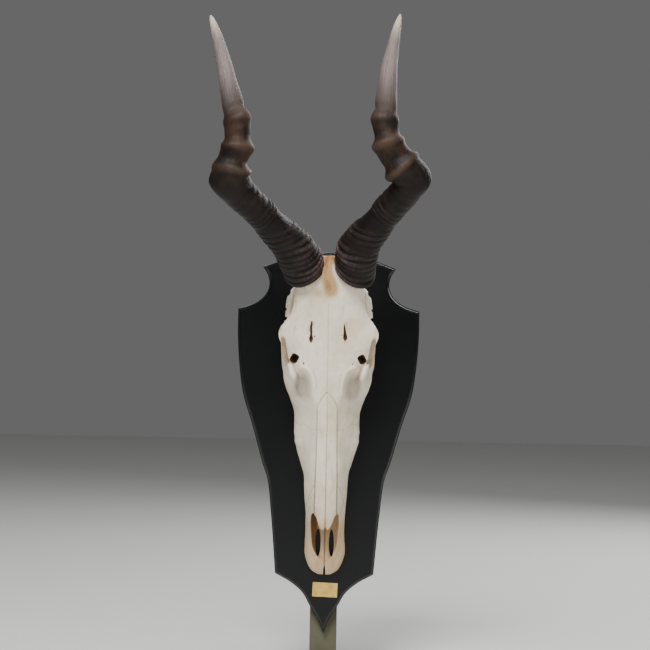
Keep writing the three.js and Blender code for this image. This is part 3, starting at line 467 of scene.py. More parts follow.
def face_relief(x, z):
    """Hollows and swellings of the face, as heights over the smooth form."""
    x = np.abs(x)
    aside, up = (x - PIT_X) / PIT_HALF, (z - PIT_Z) / PIT_LENGTH
    pit = np.hypot(aside, up)
    ridge = PIT_RIDGE * hump(pit, 1.1, 0.15) * fade(up - aside, -0.2, 1.2)
    return spots(x, z, FACE_SWELLINGS, ridge - PIT_DEPTH * (1 - fade(pit, 0.35, 0.98)))


def skull_body():
    """The skull's body, with the eye hollows and the passage behind the nostrils cut out of it."""
    body = sleeve("skull", skull_rings())
    for side in SIDES:
        turn = Matrix.Rotation(side * EYE_TURN[0], 4, "Y") @ Matrix.Rotation(side * EYE_TURN[1], 4, "Z")
        cut_away(body, ball("eye hollow", (side * EYE_CENTRE[0], *EYE_CENTRE[1:]), EYE_HALF, turn))
    cut_away(body, upright_tube("nose passage", [(z, 0, *row) for z, *row in NOSE_PASSAGE], 60, 48))
    return body


def horn_base_normal(side):
    """The way that a horn starts out of the skull."""
    x, height, z = HORN_BASE_NORMAL
    return unit(np.array([side * x, height, z]))


def horn_core(side):
    """The bony core under a horn, which swells to the ring of bone that the horn stands on."""
    normal = horn_base_normal(side)
    end = np.array(HORN_RIGHT["line"][0], float) * [side, 1, 1]
    share = np.linspace(0, 1, 16)
    line = end - normal * HORN_CORE_LENGTH * (1 - share[:, None])
    across = unit(np.cross([0, 0, 1.0], normal))
    wide = np.cross(normal, across)
    girth = between(HORN_CORE_GIRTH, share)
    across, wide = (np.tile(axis, (len(share), 1)) for axis in (across, wide))
    return sleeve("horn core", rings_along(line, across, wide, girth, girth, 48))


def eye_rim(side):
    """The raised rim round an eye hollow."""
    stops = np.asarray(EYE_RIM, float) * [side, 1, 1]
    line = even_curve(stops, 2.0, closed=True)[0][:-1]
    along = unit(np.roll(line, -1, axis=0) - np.roll(line, 1, axis=0))
    outward = unit(line - line.mean(axis=0))
    outward = unit(outward - along * (outward * along).sum(axis=1, keepdims=True))
    wide = np.cross(along, outward)
    thick = np.full(len(line), EYE_RIM_THICKNESS)
    rings = rings_along(line, outward, wide, thick, thick, 16)
    return ring_band("eye rim", np.concatenate([rings, rings[:1]]))


def nasal_bone(side):
    """One nasal bone, from its pointed top to its free tip over the nostril."""
    zs = np.linspace(NASAL_TIP, NASAL_TOP - 2, 90)
    outer = between(NASAL_EDGE, zs)
    shift = np.where(zs < NASAL_NOTCH, fade(NASAL_NOTCH - zs, 0, NASAL_NOTCH - NASAL_TIP) * NASAL_TIP_GAP, 0)
    top = between([(s[0], s[1]) for s in SKULL_STATIONS], np.maximum(zs, NASAL_NOTCH))
    top = top - np.maximum(0, NASAL_NOTCH - zs) * 0.25
    rings = []
    for z, edge, lift, inward in zip(zs, outer, top, shift):
        x = np.linspace(inward, edge, NASAL_COLUMNS)
        crown = lift + NASAL_LIFT - 5.4 * (x / 17) ** 2 + face_relief(x, z)
        thick = NASAL_TIP_THICKNESS if z < NASAL_NOTCH + 3 else NASAL_THICKNESS
        upper = np.stack([x, crown, np.full(NASAL_COLUMNS, z)], 1)
        lower = np.stack([x[::-1], crown[::-1] - thick, np.full(NASAL_COLUMNS, z)], 1)
        rings.append(np.concatenate([upper, lower]) * [side, 1, 1])
    return sleeve("nasal bone", np.array(rings))


def fine_cutters():
    """The small openings: brow slots, the holes beside the eyes, palate slots and the front notch."""
    cutters = [upright_tube(name, rows, 24, 20) for name, rows in BROW_SLOTS.items()]
    cutters += [ball(name, middle, half, detail=detail) for name, middle, half, detail in OPENINGS]
    for side in SIDES:
        x, height, z = EYE_HOLE_PLACE
        middle = (side * x, FACE_Y - height, z)
        cutters.append(plate("eye hole", EYE_HOLE_SIZE, middle, EYE_HOLE_CORNER, side * EYE_HOLE_TURN))
        for x, z, size in TEMPLE_NOTCHES:
            cutters.append(ball("temple notch", (side * x, 66, z), (size, 34, size * 0.8), detail=8))
        for name, (x, height, z), half, detail in PAIRED_OPENINGS:
            cutters.append(ball(name, (side * x, height, z), half, detail=detail))
    return joined("fine cutters", cutters)


def form_places(piece):
    """x, height above the plaque's face, and z of each point, in millimetres."""
    points = points_of(piece) / MM
    return points[:, 0], FACE_Y - points[:, 1], points[:, 2]


def wiggle(along, size):
    """The wavering of a seam along its length."""
    return size * (0.5 * np.sin(0.9 * along) + 0.35 * np.sin(2.3 * along + 1) + 0.2 * np.sin(4.7 * along + 2))


def line_distance(x, z, stops):
    """Distance in the plane of the face from each point to a line of stops."""
    nearest = np.full(len(x), FAR_OFF)
    for (x0, z0), (x1, z1) in zip(stops, stops[1:]):
        dx, dz = x1 - x0, z1 - z0
        share = np.clip(((x - x0) * dx + (z - z0) * dz) / (dx * dx + dz * dz), 0, 1)
        nearest = np.minimum(nearest, np.hypot(x - x0 - share * dx, z - z0 - share * dz))
    return nearest


def snout_seam(height):
    """Where the seam between the snout's tip and the upper jaw lies, as z at each height."""
    return SNOUT_SEAM_Z + (height - SNOUT_SEAM_HEIGHT) * SNOUT_SEAM_SLOPE


def seam_distances(x, height, z):
    """Distance to each seam of the face, with the tooth of the real seams in it."""
    rows = []
    for stops, _, _ in SEAMS:
        upright = abs(stops[0][0] - stops[-1][0]) < 20
        px = x + (wiggle(z, SEAM_WAVER_ALONG) if upright else 0)
        pz = z + (0 if upright else wiggle(x * 0.9, SEAM_WAVER_ACROSS))
        rows.append(line_distance(px, pz, stops))
    aside = np.abs(z + wiggle(height, 0.5) - snout_seam(height)) * SNOUT_SEAM_SHARE
    rows.append(np.where((np.abs(x) > 15.5) & (height > 12), aside, FAR_OFF))
    return rows


def faces_viewer(piece):
    """1 where the skin faces the viewer on the outside of the face, else 0."""
    return fade(-points_of(piece, "normal")[:, 1], 0.05, 0.4)


def refine_seams(piece):
    """Finer faces along the seams of the face, so that they can be carved."""
    x, height, z = form_places(piece)
    near = np.minimum.reduce(seam_distances(x, height, z)) < 2.2
    near &= (faces_viewer(piece) > 0.3) & (height > 4)
    loops = np.array([any(near[v] for v in face.vertices) for face in piece.data.polygons])
    alone(piece)
    bpy.ops.object.mode_set(mode="EDIT")
    bpy.ops.mesh.select_all(action="DESELECT")
    bpy.ops.object.mode_set(mode="OBJECT")
    piece.data.polygons.foreach_set("select", loops)
    bpy.ops.object.mode_set(mode="EDIT")
    bpy.ops.mesh.select_mode(type="FACE")
    bpy.ops.mesh.subdivide(number_cuts=1)
    bpy.ops.object.mode_set(mode="OBJECT")


def orbit_band(x, z):
    """1 on the band that shows beyond the brow's edge at the front of each orbit, else 0."""
    across = np.abs(x) - between(BAND_EDGE, z)
    over = fade(across, -0.7, 0.7) * (1 - fade(across, BAND_WIDTH, BAND_WIDTH + 1.8))
    return over * fade(z, 109, 115) * (1 - fade(z, 142, 156))


def carve(piece):
    """Seams, pits and the slight unevenness of real bone, as moves of the skin along its normals."""
    x, height, z = form_places(piece)
    front = faces_viewer(piece)
    move = np.zeros(len(x))
    for near, depth in zip(seam_distances(x, height, z), SEAM_DEPTHS):
        # A groove with a low swelling beside it
        move -= depth * hump(near, 0, SEAM_WIDTH) * front
        move += depth * 0.25 * hump(near, 1.9, 0.8) * front
    points = points_of(piece)
    rough = np.array([noise.fractal(Vector(p) * ROUGH_SCALE, 0.9, 2.1, 3) for p in points])
    pores = np.array([noise.noise(Vector(p) * PORE_SCALE) for p in points])
    move += ROUGH_HEIGHT * rough * fade(height, 3, 12)
    move += spots(np.abs(x), z, SMALL_SWELLINGS)
    move -= BAND_DEPTH * orbit_band(x, z) * (1 - fade(z, 128, 154)) * fade(height, 88, 96) * front
    # Pores, most of them near the snout's tip and on the cheeks
    rugged = 0.25 * fade(-z, 70, 130) + 0.35 * hump(z, 10, 26) * fade(np.abs(x), 22, 34) + 0.10
    move -= rugged * fade(pores, 0.15, 0.55)
    move_points(piece, points + points_of(piece, "normal") * move[:, None] * MM)


def mark_bone(piece):
    """Marks for the bone's finish: tan and brown stains, painted shade in the pits, on the band and in the
    eye holes, seams and hollows.
    """
    x, height, z = form_places(piece)
    front = faces_viewer(piece)
    ax = np.abs(x)
    line = np.zeros(len(x))
    for near, dark in zip(seam_distances(x, height, z), SEAM_DARKNESS):
        line = np.maximum(line, dark * hump(near, 0, 0.8) * front)
    line *= np.where(z > NASAL_TOP, 1, 0.55 + 0.45 * fade(-z, -20, 60))
    # The eye hollows, and the passage behind the nostrils without the nasal bones' free tips
    out, deep, up = EYE_HALF[0], EYE_HALF[1] + 1, EYE_HALF[2] + 1
    eye = np.hypot((ax - EYE_CENTRE[0]) / out, (height - EYE_CENTRE[1]) / deep)
    eye = np.hypot(eye, (z - EYE_CENTRE[2]) / up)
    in_eye = 1 - fade(eye, 0.96, 1.06)
    half, floor, roof = (between(NOSE_PASSAGE, z, k) for k in (1, 2, 3))
    passage = np.hypot(x / (half + 0.8), (height - (floor + roof) / 2) / ((roof - floor) / 2 + 0.8))
    on_prong = (ax < between(NASAL_EDGE, z) + 1.6) & (height > 44) & (z > NASAL_TIP - 3)
    in_nose = (1 - fade(passage, 0.95, 1.08)) * (z < -40) * np.where(on_prong, 0, 1)
    # Inside the brow slots and round them, and painted shade deep inside the holes beside the eyes
    slots = hump(ax, 22.8, 3.4) * fade(z, 137, 143) * (1 - fade(z, 168, 174)) * (height > 90)
    top = between([(row[0], row[1]) for row in SKULL_STATIONS], z)
    in_slot = slots * fade(top - height, 3.2, 5.2)
    eye_hole = hump(np.hypot(ax - EYE_HOLE_STAIN[0], z - EYE_HOLE_STAIN[1]), 0, 7) * fade(-height, -106, -100)
    # Stains on the crown, the snout, the nasal bones and the back
    crown = 1.15 * hump(x + 4 * np.sin(z / 9), -2.5, 11) * fade(z, 190, 216) * fade(height, 90, 110)
    crown = np.maximum(crown, spots(x, z, [(-14, 208, 10, 9, 0.55)]) * fade(height, 90, 110))
    snout = 0.62 * fade(-z, 40, 130)
    nasal = 0.30 * fade(-z, -70, 60) * hump(ax, 9, 8)
    facing = -points_of(piece, "normal")[:, 1]
    behind = 0.35 * (1 - fade(facing, -0.6, 0.2))
    # Painted shade: grey in the pits before the eyes, on the skin that faces the viewer
    pit = 1 - fade(np.hypot((ax - 36) / 15, (z - 78) / 28), 0.35, 1.05)
    # Painted shade: darker tan on the band beyond the brow at the front of each orbit, which lies in part
    # shadow
    band = orbit_band(x, z) * fade(height, 70, 84) * fade(facing, 0.25, 0.55)
    stains = [crown, 0.45 * in_eye, snout, nasal, behind, 0.5 * slots, 0.7 * in_nose]
    put_mark(piece, "tan", np.maximum.reduce(stains))
    put_mark(piece, "brown", np.maximum.reduce([in_nose * fade(-x, 5, 13) * 0.9, in_slot, 1.8 * eye_hole]))
    put_mark(piece, "pit_shade", pit * front)
    put_mark(piece, "band", band)
    put_mark(piece, "seam", line)
    put_mark(piece, "hollow", hollows(piece))


def hollows(piece):
    """How far each point lies below its neighbours, spread a little."""
    count = len(piece.data.vertices)
    edges = np.empty(len(piece.data.edges) * 2, int)
    piece.data.edges.foreach_get("vertices", edges)
    one, two = edges.reshape(-1, 2).T
    degree = np.bincount(one, minlength=count) + np.bincount(two, minlength=count)

    def around(values):
        total = np.bincount(one, values[two], count) + np.bincount(two, values[one], count)
        return total / np.maximum(degree, 1)

    points = points_of(piece) / MM
    mean = np.stack([around(points[:, k]) for k in range(3)], 1)
    depth = ((mean - points) * points_of(piece, "normal")).sum(axis=1)
    for _ in range(3):
        depth = 0.4 * depth + 0.6 * around(depth)
    return np.clip(depth * 12, -1, 1)


def build_skull():
    """The skull as one skin: its bones are joined and remeshed, then opened, carved, thinned and marked."""
    case = [(z, 0, half, back, front) for z, half, front, back in BRAINCASE_STATIONS]
    shells = [skull_body(), upright_tube("braincase", case, 60, 48)]
    shells += [rod(name, rows) for name, rows in MIDDLE_RODS.items()]
    for side in SIDES:
        shells += [rod(name, rows, side) for name, rows in PAIRED_RODS.items()]
        shells += [ball(name, (side * x, height, z), half) for name, (x, height, z), half in PAIRED_SWELLINGS]
        shells += [horn_core(side), eye_rim(side), nasal_bone(side)]
    skull = joined("skull", shells)
    alone(skull)
    skull.data.remesh_voxel_size = SKULL_VOXEL
    bpy.ops.object.voxel_remesh()
    modified(skull, "SMOOTH", factor=0.5, iterations=8)
    cut_away(skull, fine_cutters())
    refine_seams(skull)
    carve(skull)
    faces = sum(len(face.vertices) - 2 for face in skull.data.polygons)
    modified(skull, "DECIMATE", ratio=SKULL_TRIANGLES / faces)
    mark_bone(skull)
    return skull


# The horns

def horn(name, side, form):
    """A horn along its centreline, ringed near its base, with three thick ridges above its bend.
    Its marks tell the finish where the rings' crests and the ridges are, and the place along and round it."""
    line, run = even_curve(form["line"], HORN_ROW_STEP)
    length = run[-1]
    turn = (1 - fade(run, 0, HORN_BASE_TURN))[:, None]
    normal = unit(unit(np.gradient(line, axis=0)) * (1 - turn) + horn_base_normal(side) * turn)
    across = unit(np.stack([normal[:, 2], 0 * run, -normal[:, 0]], 1))
    wide = np.cross(normal, across)
    angle = np.linspace(0, 2 * math.pi, HORN_SIDES, endpoint=False)[None, :]
    # Turned so that 0 is the side of the horn towards the other horn, and a quarter turn is its front
    round_horn = angle if side < 0 else math.pi - angle
    far = run[:, None]
    knobs = horn_knobs(far, round_horn, form["knobs"])
    ridge = horn_rings(far, round_horn, side) + knobs
    corner_at, corner_height, before, after = form["corner"]
    outward = np.angle(np.exp(1j * (round_horn - math.pi)))
    spread = np.where(far < corner_at, before, after)
    corner = corner_height * np.exp(-np.abs((far - corner_at) / spread) ** 1.4)
    corner = corner * hump(outward, 0, HORN_CORNER_SPREAD)
    tip = np.maximum(np.sqrt(np.clip((length - far) / HORN_TIP, 0, 1)), 0.12)
    radius = (between(form["girth"], far) + ridge + corner + horn_grain(far, round_horn)) * tip
    round_x, round_y = (part[..., None] for part in (np.cos(angle), np.sin(angle)))
    rings = line[:, None] + radius[:, :, None] * (round_x * across[:, None] + round_y * wide[:, None])
    marks = {"crest": np.clip(ridge / 3.2, -0.4, 1), "along": far / length + 0 * radius,
             "ledge": np.clip((knobs - 2.4) / 2.2, 0, 1),
             "inner": 0.5 + 0.5 * np.cos(round_horn) + 0 * far,
             "round_x": np.cos(angle) + 0 * far, "round_y": np.sin(angle) + 0 * far}
    return sleeve(name, rings, marks)


def arch(value, half):
    """A round-topped ridge that meets its neighbours in a sharp groove."""
    return np.sqrt(np.clip(1 - (value / half) ** 2, 0, 1))


def horn_rings(far, turn, side):
    """The narrow rings of the lower horn: close together on the inner side, wide apart on the outer.
    Each ring's place, height and lean differ a little by its seed."""
    inner = 0.5 + 0.5 * np.cos(turn)
    total = 0 * far * turn
    for k in range(HORN_RING_COUNT):
        seed = 1.7 * k + side * 0.6
        place = 4.5 + k * (5.2 + 0.12 * k) + (1 - inner) * k * (3.3 - 0.05 * k)
        place = place + 0.9 * np.sin(2 * turn + seed) + 0.5 * np.sin(3 * turn + 2.3 * seed)
        height = (2.3 + 0.6 * math.sin(2.9 * seed)) * (0.78 + 0.22 * np.sin(turn + 0.8 * seed))
        half = 2.5 + 0.06 * k + (1.45 - 0.02 * k) * (1 - inner)
        total = np.maximum(total, height * arch(far - place, half) * (1 - 0.045 * k))
    for place, height, half in HORN_WEAK_RINGS:
        bent = place + 1.6 * np.sin(turn + place) + 5 * (1 - inner)
        total = np.maximum(total, height * arch(far - bent, half) * (0.62 + 0.38 * np.cos(turn - 0.9)))
    fine = 0.3 * np.sin(far * 2.4 + 1.2 * np.sin(2 * turn)) * inner * (1 - fade(far, 40, 75))
    return total + fine - 0.6 * (1 - fade(far, 100, 130))


def horn_knobs(far, turn, knobs):
    """The thick ridges above the bend, highest on the inner side, each with a waist after it."""
    inner = 0.5 + 0.5 * np.cos(turn - 0.35)
    total = 0 * far * turn
    for k, (place, height, before, after) in enumerate(knobs):
        middle = place + 3.0 * np.sin(turn + 0.7 * k) * (1.4 if k == 0 else 0.5)
        width = np.where(far < middle, before, after)
        crest = np.exp(-np.abs((far - middle) / width) ** 2.2)
        total = total + height * (0.45 + 0.55 * inner) * crest
        total = total - 1.6 * (0.4 + 0.6 * inner) * hump(far, middle + after + 6, 6)
    return total


def horn_grain(far, turn):
    """Shallow lengthwise grooves and unevenness."""
    grooves = 0.10 * np.sin(23 * turn + 0.03 * far) + 0.07 * np.sin(37 * turn + 1.3 + 0.05 * far)
    lumps = 0.45 * np.sin(0.05 * far + 2 * turn) + 0.4 * np.sin(0.11 * far + 3 * turn + 1)
    return grooves * fade(far, 120, 220) + lumps * fade(far, 8, 30) * (1 - fade(far, 300, 400))


# The cheek teeth

def cheek_tooth(side, x, z, length, width, lobes):
    """One tooth, ribbed on its cheek side and lobed on its tongue side."""
    heights = np.linspace(TOOTH_LEVELS[0][0], TOOTH_LEVELS[-1][0], 22)
    swell = between(TOOTH_LEVELS, heights)
    angle = np.linspace(0, 2 * math.pi, TOOTH_SIDES, endpoint=False)
    # The plan is between an ellipse and a rectangle
    plan_x, plan_z = (np.sign(part) * np.abs(part) ** 0.55 for part in (np.cos(angle), np.sin(angle)))
    outer = fade(plan_x * side, 0.3, 0.9)
    ribs = 1.5 * np.abs(np.cos(math.pi * lobes * plan_z / 2)) ** 6 * outer
    folds = 1.1 * hump(plan_z, 0, 0.16) * fade(-plan_x * side, 0.3, 0.9) * (lobes > 1)
    rings = np.empty((len(heights), TOOTH_SIDES, 3))
    for row, (height, share) in enumerate(zip(heights, swell)):
        half = (width / 2 - 1.2) * share
        rings[row, :, 0] = x + plan_x * half + side * (ribs + folds)
        rings[row, :, 1] = TOOTH_FOOT + height
        rings[row, :, 2] = z + plan_z * length / 2 * min(1, share)
    return sleeve("tooth", rings)


def cheek_teeth():
    """Both rows of cheek teeth, which lie in a slight bow."""
    total = sum(length + TOOTH_GAP for length, _ in TEETH)
    teeth = []
    for side in SIDES:
        z = TOOTH_ROW_START
        for number, (length, width) in enumerate(TEETH):
            middle = z + length / 2
            along = (middle - TOOTH_ROW_START) / total
            x = side * (TOOTH_ROW_NEAR + (TOOTH_ROW_FAR - TOOTH_ROW_NEAR) * math.sin(along * math.pi / 2))
            teeth.append(cheek_tooth(side, x, middle, length, width, 2 if number > 2 else 1))
            z += length + TOOTH_GAP
    return joined("cheek_teeth", teeth)


# The plaque, its label and the bar behind it

def plaque_outline():
    """The plaque's whole outline, from the middle of its top round by the right side."""
    right = []
    for run in PLAQUE_RUNS:
        right.extend(even_curve([(x, 0, z) for x, z in run], 3.0)[0][:-1])
    right = np.array(right + [np.array([0, 0, PLAQUE_RUNS[-1][-1][1]], float)])
    left = right[1:-1][::-1] * [-1, 1, 1]
    return np.concatenate([right, left])


def inset_outline(outline, inset):
    """The outline moved inwards, with mitred corners. At the shield's point its two sides meet."""
    edges = unit(outline - np.roll(outline, 1, axis=0)), unit(np.roll(outline, -1, axis=0) - outline)
    in_before, in_after = (np.stack([edge[:, 2], 0 * edge[:, 0], -edge[:, 0]], 1) for edge in edges)
    bisector = unit(in_before + in_after)
    mitre = np.maximum(0.5, (bisector * in_after).sum(axis=1, keepdims=True))
    moved = outline + bisector * inset / mitre
    low = outline[:, 2] < outline[:, 2].min() + POINT_REACH
    past = low & (moved[:, 0] * np.sign(outline[:, 0]) <= 0)
    near = moved[low & ~past & (outline[:, 0] > 0)]
    first, second = near[np.argsort(near[:, 2])[:2]]
    moved[past, 0] = 0
    moved[past, 2] = first[2] - first[0] * (second[2] - first[2]) / (second[0] - first[0])
    return moved


def build_plaque():
    """The plaque as one skin: its back edge, its sides, the moulding, and its flat face and back."""
    outline = plaque_outline()
    inset, rise = 0.0, -PLAQUE_BACK
    rings = [inset_outline(outline, 0.5), inset_outline(outline, 0.15), outline + 0, outline + 0]
    for ring, height in zip(rings, (rise, rise + 0.15, rise + 0.5, rise + PLAQUE_EDGE_STEP)):
        ring[:, 1] = height + FACE_Y
    rise += PLAQUE_EDGE_STEP
    for width, step in EDGE_MOULDING:
        inset, rise = inset + width, rise + step
        rings.append(inset_outline(outline, inset))
        rings[-1][:, 1] = rise + FACE_Y
    piece = ring_band("shield_plaque", np.array(rings), closed=False)
    edit(piece, lambda: bpy.ops.mesh.fill_holes(sides=0),
         lambda: bpy.ops.mesh.normals_make_consistent(inside=False))
    return piece


def plate(name, size, place, bevel, turn=0.0):
    """A rectangular plate with softened edges, turned about the y axis."""
    piece = started(name, bpy.ops.mesh.primitive_cube_add, size=1)
    spin = Matrix.Translation(Vector(place) * MM) @ Matrix.Rotation(turn, 4, "Y")
    piece.data.transform(spin @ Matrix.Diagonal((size[0] * MM, size[1] * MM, size[2] * MM, 1)))
    modified(piece, "BEVEL", width=bevel * MM, segments=3, limit_method="ANGLE")
    return piece


def build_label():
    (length, height, thickness), (x, z) = LABEL_SIZE, LABEL_PLACE
    middle = (x, FACE_Y - LABEL_GAP - thickness / 2, z)
    return plate("label_plate", (length, thickness, height), middle, 0.2, LABEL_TURN)


def label_pins():
    pins = []
    for side in SIDES:
        out = side * (LABEL_SIZE[0] / 2 - PIN_FROM_END)
        x, z = LABEL_PLACE[0] + out * math.cos(LABEL_TURN), LABEL_PLACE[1] - out * math.sin(LABEL_TURN)
        pins.append(ball("pin", (x, 1.0, z), PIN_HALF, detail=10))
    return joined("label_pins", pins)


def build_bar():
    size = (BAR_WIDTH, BAR_THICKNESS, BAR_TOP - BAR_BOTTOM)
    return plate("back_bar", size, (0, -BAR_THICKNESS / 2, (BAR_TOP + BAR_BOTTOM) / 2), 0.8)


# Finishes

def linear(red, green, blue):
    """A screen colour of 0 to 255 as the shader's own numbers."""
    shares = (part / 255 for part in (red, green, blue))
    return tuple(((part + 0.055) / 1.055) ** 2.4 if part > 0.04045 else part / 12.92 for part in shares)


class Reading:
    """A socket in a material's nodes, which can be reckoned with like a number."""

    def __init__(self, paint, socket):
        self.paint, self.socket = paint, socket

    def reckon(self, operation, *others, clamp=False):
        inputs = dict(enumerate(others))
        return self.paint.node("Math", {"operation": operation, "use_clamp": clamp}, inputs)

    def __add__(self, other):
        return self.reckon("ADD", self, other)

    def __sub__(self, other):
        return self.reckon("SUBTRACT", self, other)

    def __rsub__(self, other):
        return self.reckon("SUBTRACT", other, self)

    def __mul__(self, other):
        return self.reckon("MULTIPLY", self, other)

    __radd__, __rmul__ = __add__, __mul__

    def held(self):
        """The same, kept between 0 and 1."""
        return self.reckon("ADD", self, 0.0, clamp=True)

    def fade(self, low, high):
        """0 below low, 1 above high, and smooth between."""
        inputs = {0: self, 1: low, 2: high, 3: 0.0, 4: 1.0}
        return self.paint.node("MapRange", {"interpolation_type": "SMOOTHSTEP"}, inputs)


class Paint:
    """A material in the making."""

    def __init__(self, name):
        self.material = bpy.data.materials.new(name)
        self.material.use_nodes = True
        self.tree = self.material.node_tree
        self.shader = self.tree.nodes["Principled BSDF"]
        self.place = self.node("TexCoord", out="Object")

    def node(self, kind, settings=None, inputs=None, out=0):
        made = self.tree.nodes.new("ShaderNode" + kind)
        for key, value in (settings or {}).items():
            setattr(made, key, value)
        for key, value in (inputs or {}).items():
            self.feed(made.inputs[key], value)
        return Reading(self, made.outputs[out])

    def feed(self, socket, value):
        if isinstance(value, Reading):
            self.tree.links.new(value.socket, socket)
        elif isinstance(value, tuple) and len(value) == 3 and socket.type == "RGBA":
            socket.default_value = (*value, 1)
        else:
            socket.default_value = value

    def stretched(self, share):
        """The place read with its three directions stretched."""
        return self.node("VectorMath", {"operation": "MULTIPLY"}, {0: self.place, 1: share})

    def noise(self, scale, detail=4.0, rough=0.55, place=None):
        inputs = {"Vector": place or self.place, "Scale": scale, "Detail": detail, "Roughness": rough}
        return self.node("TexNoise", None, inputs)

    def mark(self, name):
        return self.node("Attribute", {"attribute_name": name}, out="Fac")

    def mix(self, share, first, second):
        """The first colour where the share is 0, and the second where it is 1."""
        return self.node("Mix", {"data_type": "RGBA"}, {0: share, 6: first, 7: second}, out=2)

    def ground(self, share, first, second):
        """The colour that the others are laid over: between two colours of 0 to 255."""
        self.base = self.mix(share, linear(*first), linear(*second))

    def lay(self, share, *colour):
        """Lays a colour of 0 to 255 over the others, as strongly as the share says."""
        self.base = self.mix(share, self.base, linear(*colour))

    def finish(self, roughness, height=None, depth=0.0005, **plain):
        """Feeds the shader: what varies is linked, and plain numbers go on its own sockets."""
        self.feed(self.shader.inputs["Base Color"], self.base)
        self.feed(self.shader.inputs["Roughness"], roughness)
        if height is not None:
            bump = self.node("Bump", None, {"Height": height, "Distance": depth, "Strength": 1.0})
            self.feed(self.shader.inputs["Normal"], bump)
        for key, value in plain.items():
            self.feed(self.shader.inputs[key.replace("_", " ")], value)
        return self.material


def bone_finish():
    paint = Paint("old_bone")
    clouds = paint.noise(20, 5, 0.6)
    fine = paint.noise(190, 4, 0.6)
    long_grain = paint.noise(120, 4, 0.6, paint.stretched((1, 1, 0.12)))
    streaks = paint.noise(70, 5, 0.65, paint.stretched((1, 1, 0.2)))
    pores = paint.noise(620, 2, 0.5)
    paint.ground(clouds.fade(0.35, 0.68), (240, 230, 210), (218, 203, 176))
    paint.lay(long_grain.fade(0.50, 0.75) * 0.5, 196, 176, 142)
    hollow = paint.mark("hollow")
    paint.lay(hollow.fade(0.22, 1.0) * 0.5, 164, 136, 98)
    paint.lay((0 - hollow).fade(0.15, 0.8) * 0.45, 248, 242, 228)
    tan = paint.mark("tan")
    stain = (tan * (0.55 + 0.95 * streaks)).fade(0.12, 0.85)
    paint.lay(stain, 184, 148, 102)
    deep_stain = (tan * paint.noise(75, 5, 0.65, paint.stretched((1, 1, 0.45)))).fade(0.40, 0.62)
    paint.lay(deep_stain * 0.7, 146, 98, 54)
    # Painted shade: grey in the pits before the eyes, mottled by the clouds
    paint.lay(paint.mark("pit_shade") * (0.45 + 0.4 * clouds), 154, 144, 131)
    # Painted shade: darker tan on the band at the front of each orbit
    band = paint.mark("band") * (0.8 + 0.4 * clouds)
    paint.lay(band.fade(0.2, 0.9) * 0.9, 140, 114, 76)
    seam = paint.mark("seam")
    paint.lay((seam * (0.5 + 0.8 * fine)).held(), 92, 60, 32)
    # Brown stains in the nose passage and brow slots; in the holes beside the eyes the mark runs above 1 and
    # paints shade there
    brown = paint.mark("brown") * (0.7 + 0.6 * paint.noise(70, 4, 0.6))
    paint.lay(brown.fade(0.1, 0.85), 104, 72, 38)
    # Painted shade: near-black deep in the holes beside the eyes
    paint.lay(brown.fade(1.0, 1.5), 20, 12, 7)
    height = 0.5 * fine + 0.3 * long_grain + 0.55 * pores.fade(0.30, 0.5)
    rough = 0.46 + 0.2 * clouds + 0.12 * tan
    return paint.finish(rough, height, 0.00035, Specular_IOR_Level=0.4, Subsurface_Weight=0.06,
                        Subsurface_Radius=(0.004, 0.0025, 0.0015), Subsurface_Scale=0.6)


def tooth_finish():
    paint = Paint("old_enamel")
    grain = paint.noise(160, 4, 0.6, paint.stretched((1, 0.2, 1)))
    clouds = paint.noise(60, 4)
    paint.ground(clouds, (216, 206, 180), (178, 156, 116))
    paint.lay(grain.fade(0.5, 0.75) * 0.6, 120, 92, 58)
    return paint.finish(0.3 + 0.2 * clouds, grain, 0.0004)


def horn_finish():
    paint = Paint("horn_sheath")
    along, crest, inner = paint.mark("along"), paint.mark("crest"), paint.mark("inner")
    unrolled = {0: paint.mark("round_x"), 1: paint.mark("round_y"), 2: along * 1.2}
    turn = paint.node("CombineXYZ", None, unrolled)
    streaks = paint.noise(9, 5, 0.6, turn)
    fine_streaks = paint.noise(26, 4, 0.6, turn)
    clouds = paint.noise(38, 5, 0.6)
    flakes = paint.noise(260, 4, 0.65)
    paint.ground(clouds.fade(0.35, 0.7), (16, 11, 9), (30, 21, 17))
    paint.lay(crest.fade(0.35, 0.95) * (0.1 + 0.6 * clouds), 56, 41, 35)
    flecks = (0.6 * fine_streaks + 0.4 * flakes).fade(0.47, 0.60)
    # Lighter ring crests near the base on the inner side: a painted highlight where the light falls, with
    # real pale grey-mauve flecks
    base_rings = (1 - along).fade(0.76, 0.97) * inner * crest.fade(0.0, 0.5)
    paint.lay(base_rings * (0.2 + 0.8 * flecks), 118, 98, 96)
    knob = along.fade(0.44, 0.50) * (1 - along.fade(0.62, 0.72))
    paint.lay(knob * clouds.fade(0.3, 0.7) * 0.8, 58, 39, 25)
    # Painted highlight: lighter tan on the crests of the thick ridges, broken up by the flakes
    paint.lay(paint.mark("ledge") * (0.05 + 0.5 * flakes), 92, 76, 60)
    paint.lay((0 - crest).fade(-0.1, 0.2) * (1 - along.fade(0.3, 0.42)) * 0.75, 13, 10, 9)
    pale = along.fade(0.61, 0.82)
    paint.lay((pale * (0.6 + 0.6 * streaks)).held(), 120, 108, 105)
    paint.lay(along.fade(0.88, 1.0) * 0.85, 198, 188, 168)
    paint.lay(fine_streaks.fade(0.48, 0.66) * (0.1 + 0.62 * pale), 64, 50, 46)
    height = 0.5 * flakes * (1 - 0.5 * pale) + 0.8 * fine_streaks + 0.4 * streaks
    rough = 0.33 + 0.22 * flakes + 0.08 * (1 - pale)
    return paint.finish(rough, height, 0.0006, Specular_IOR_Level=0.18)


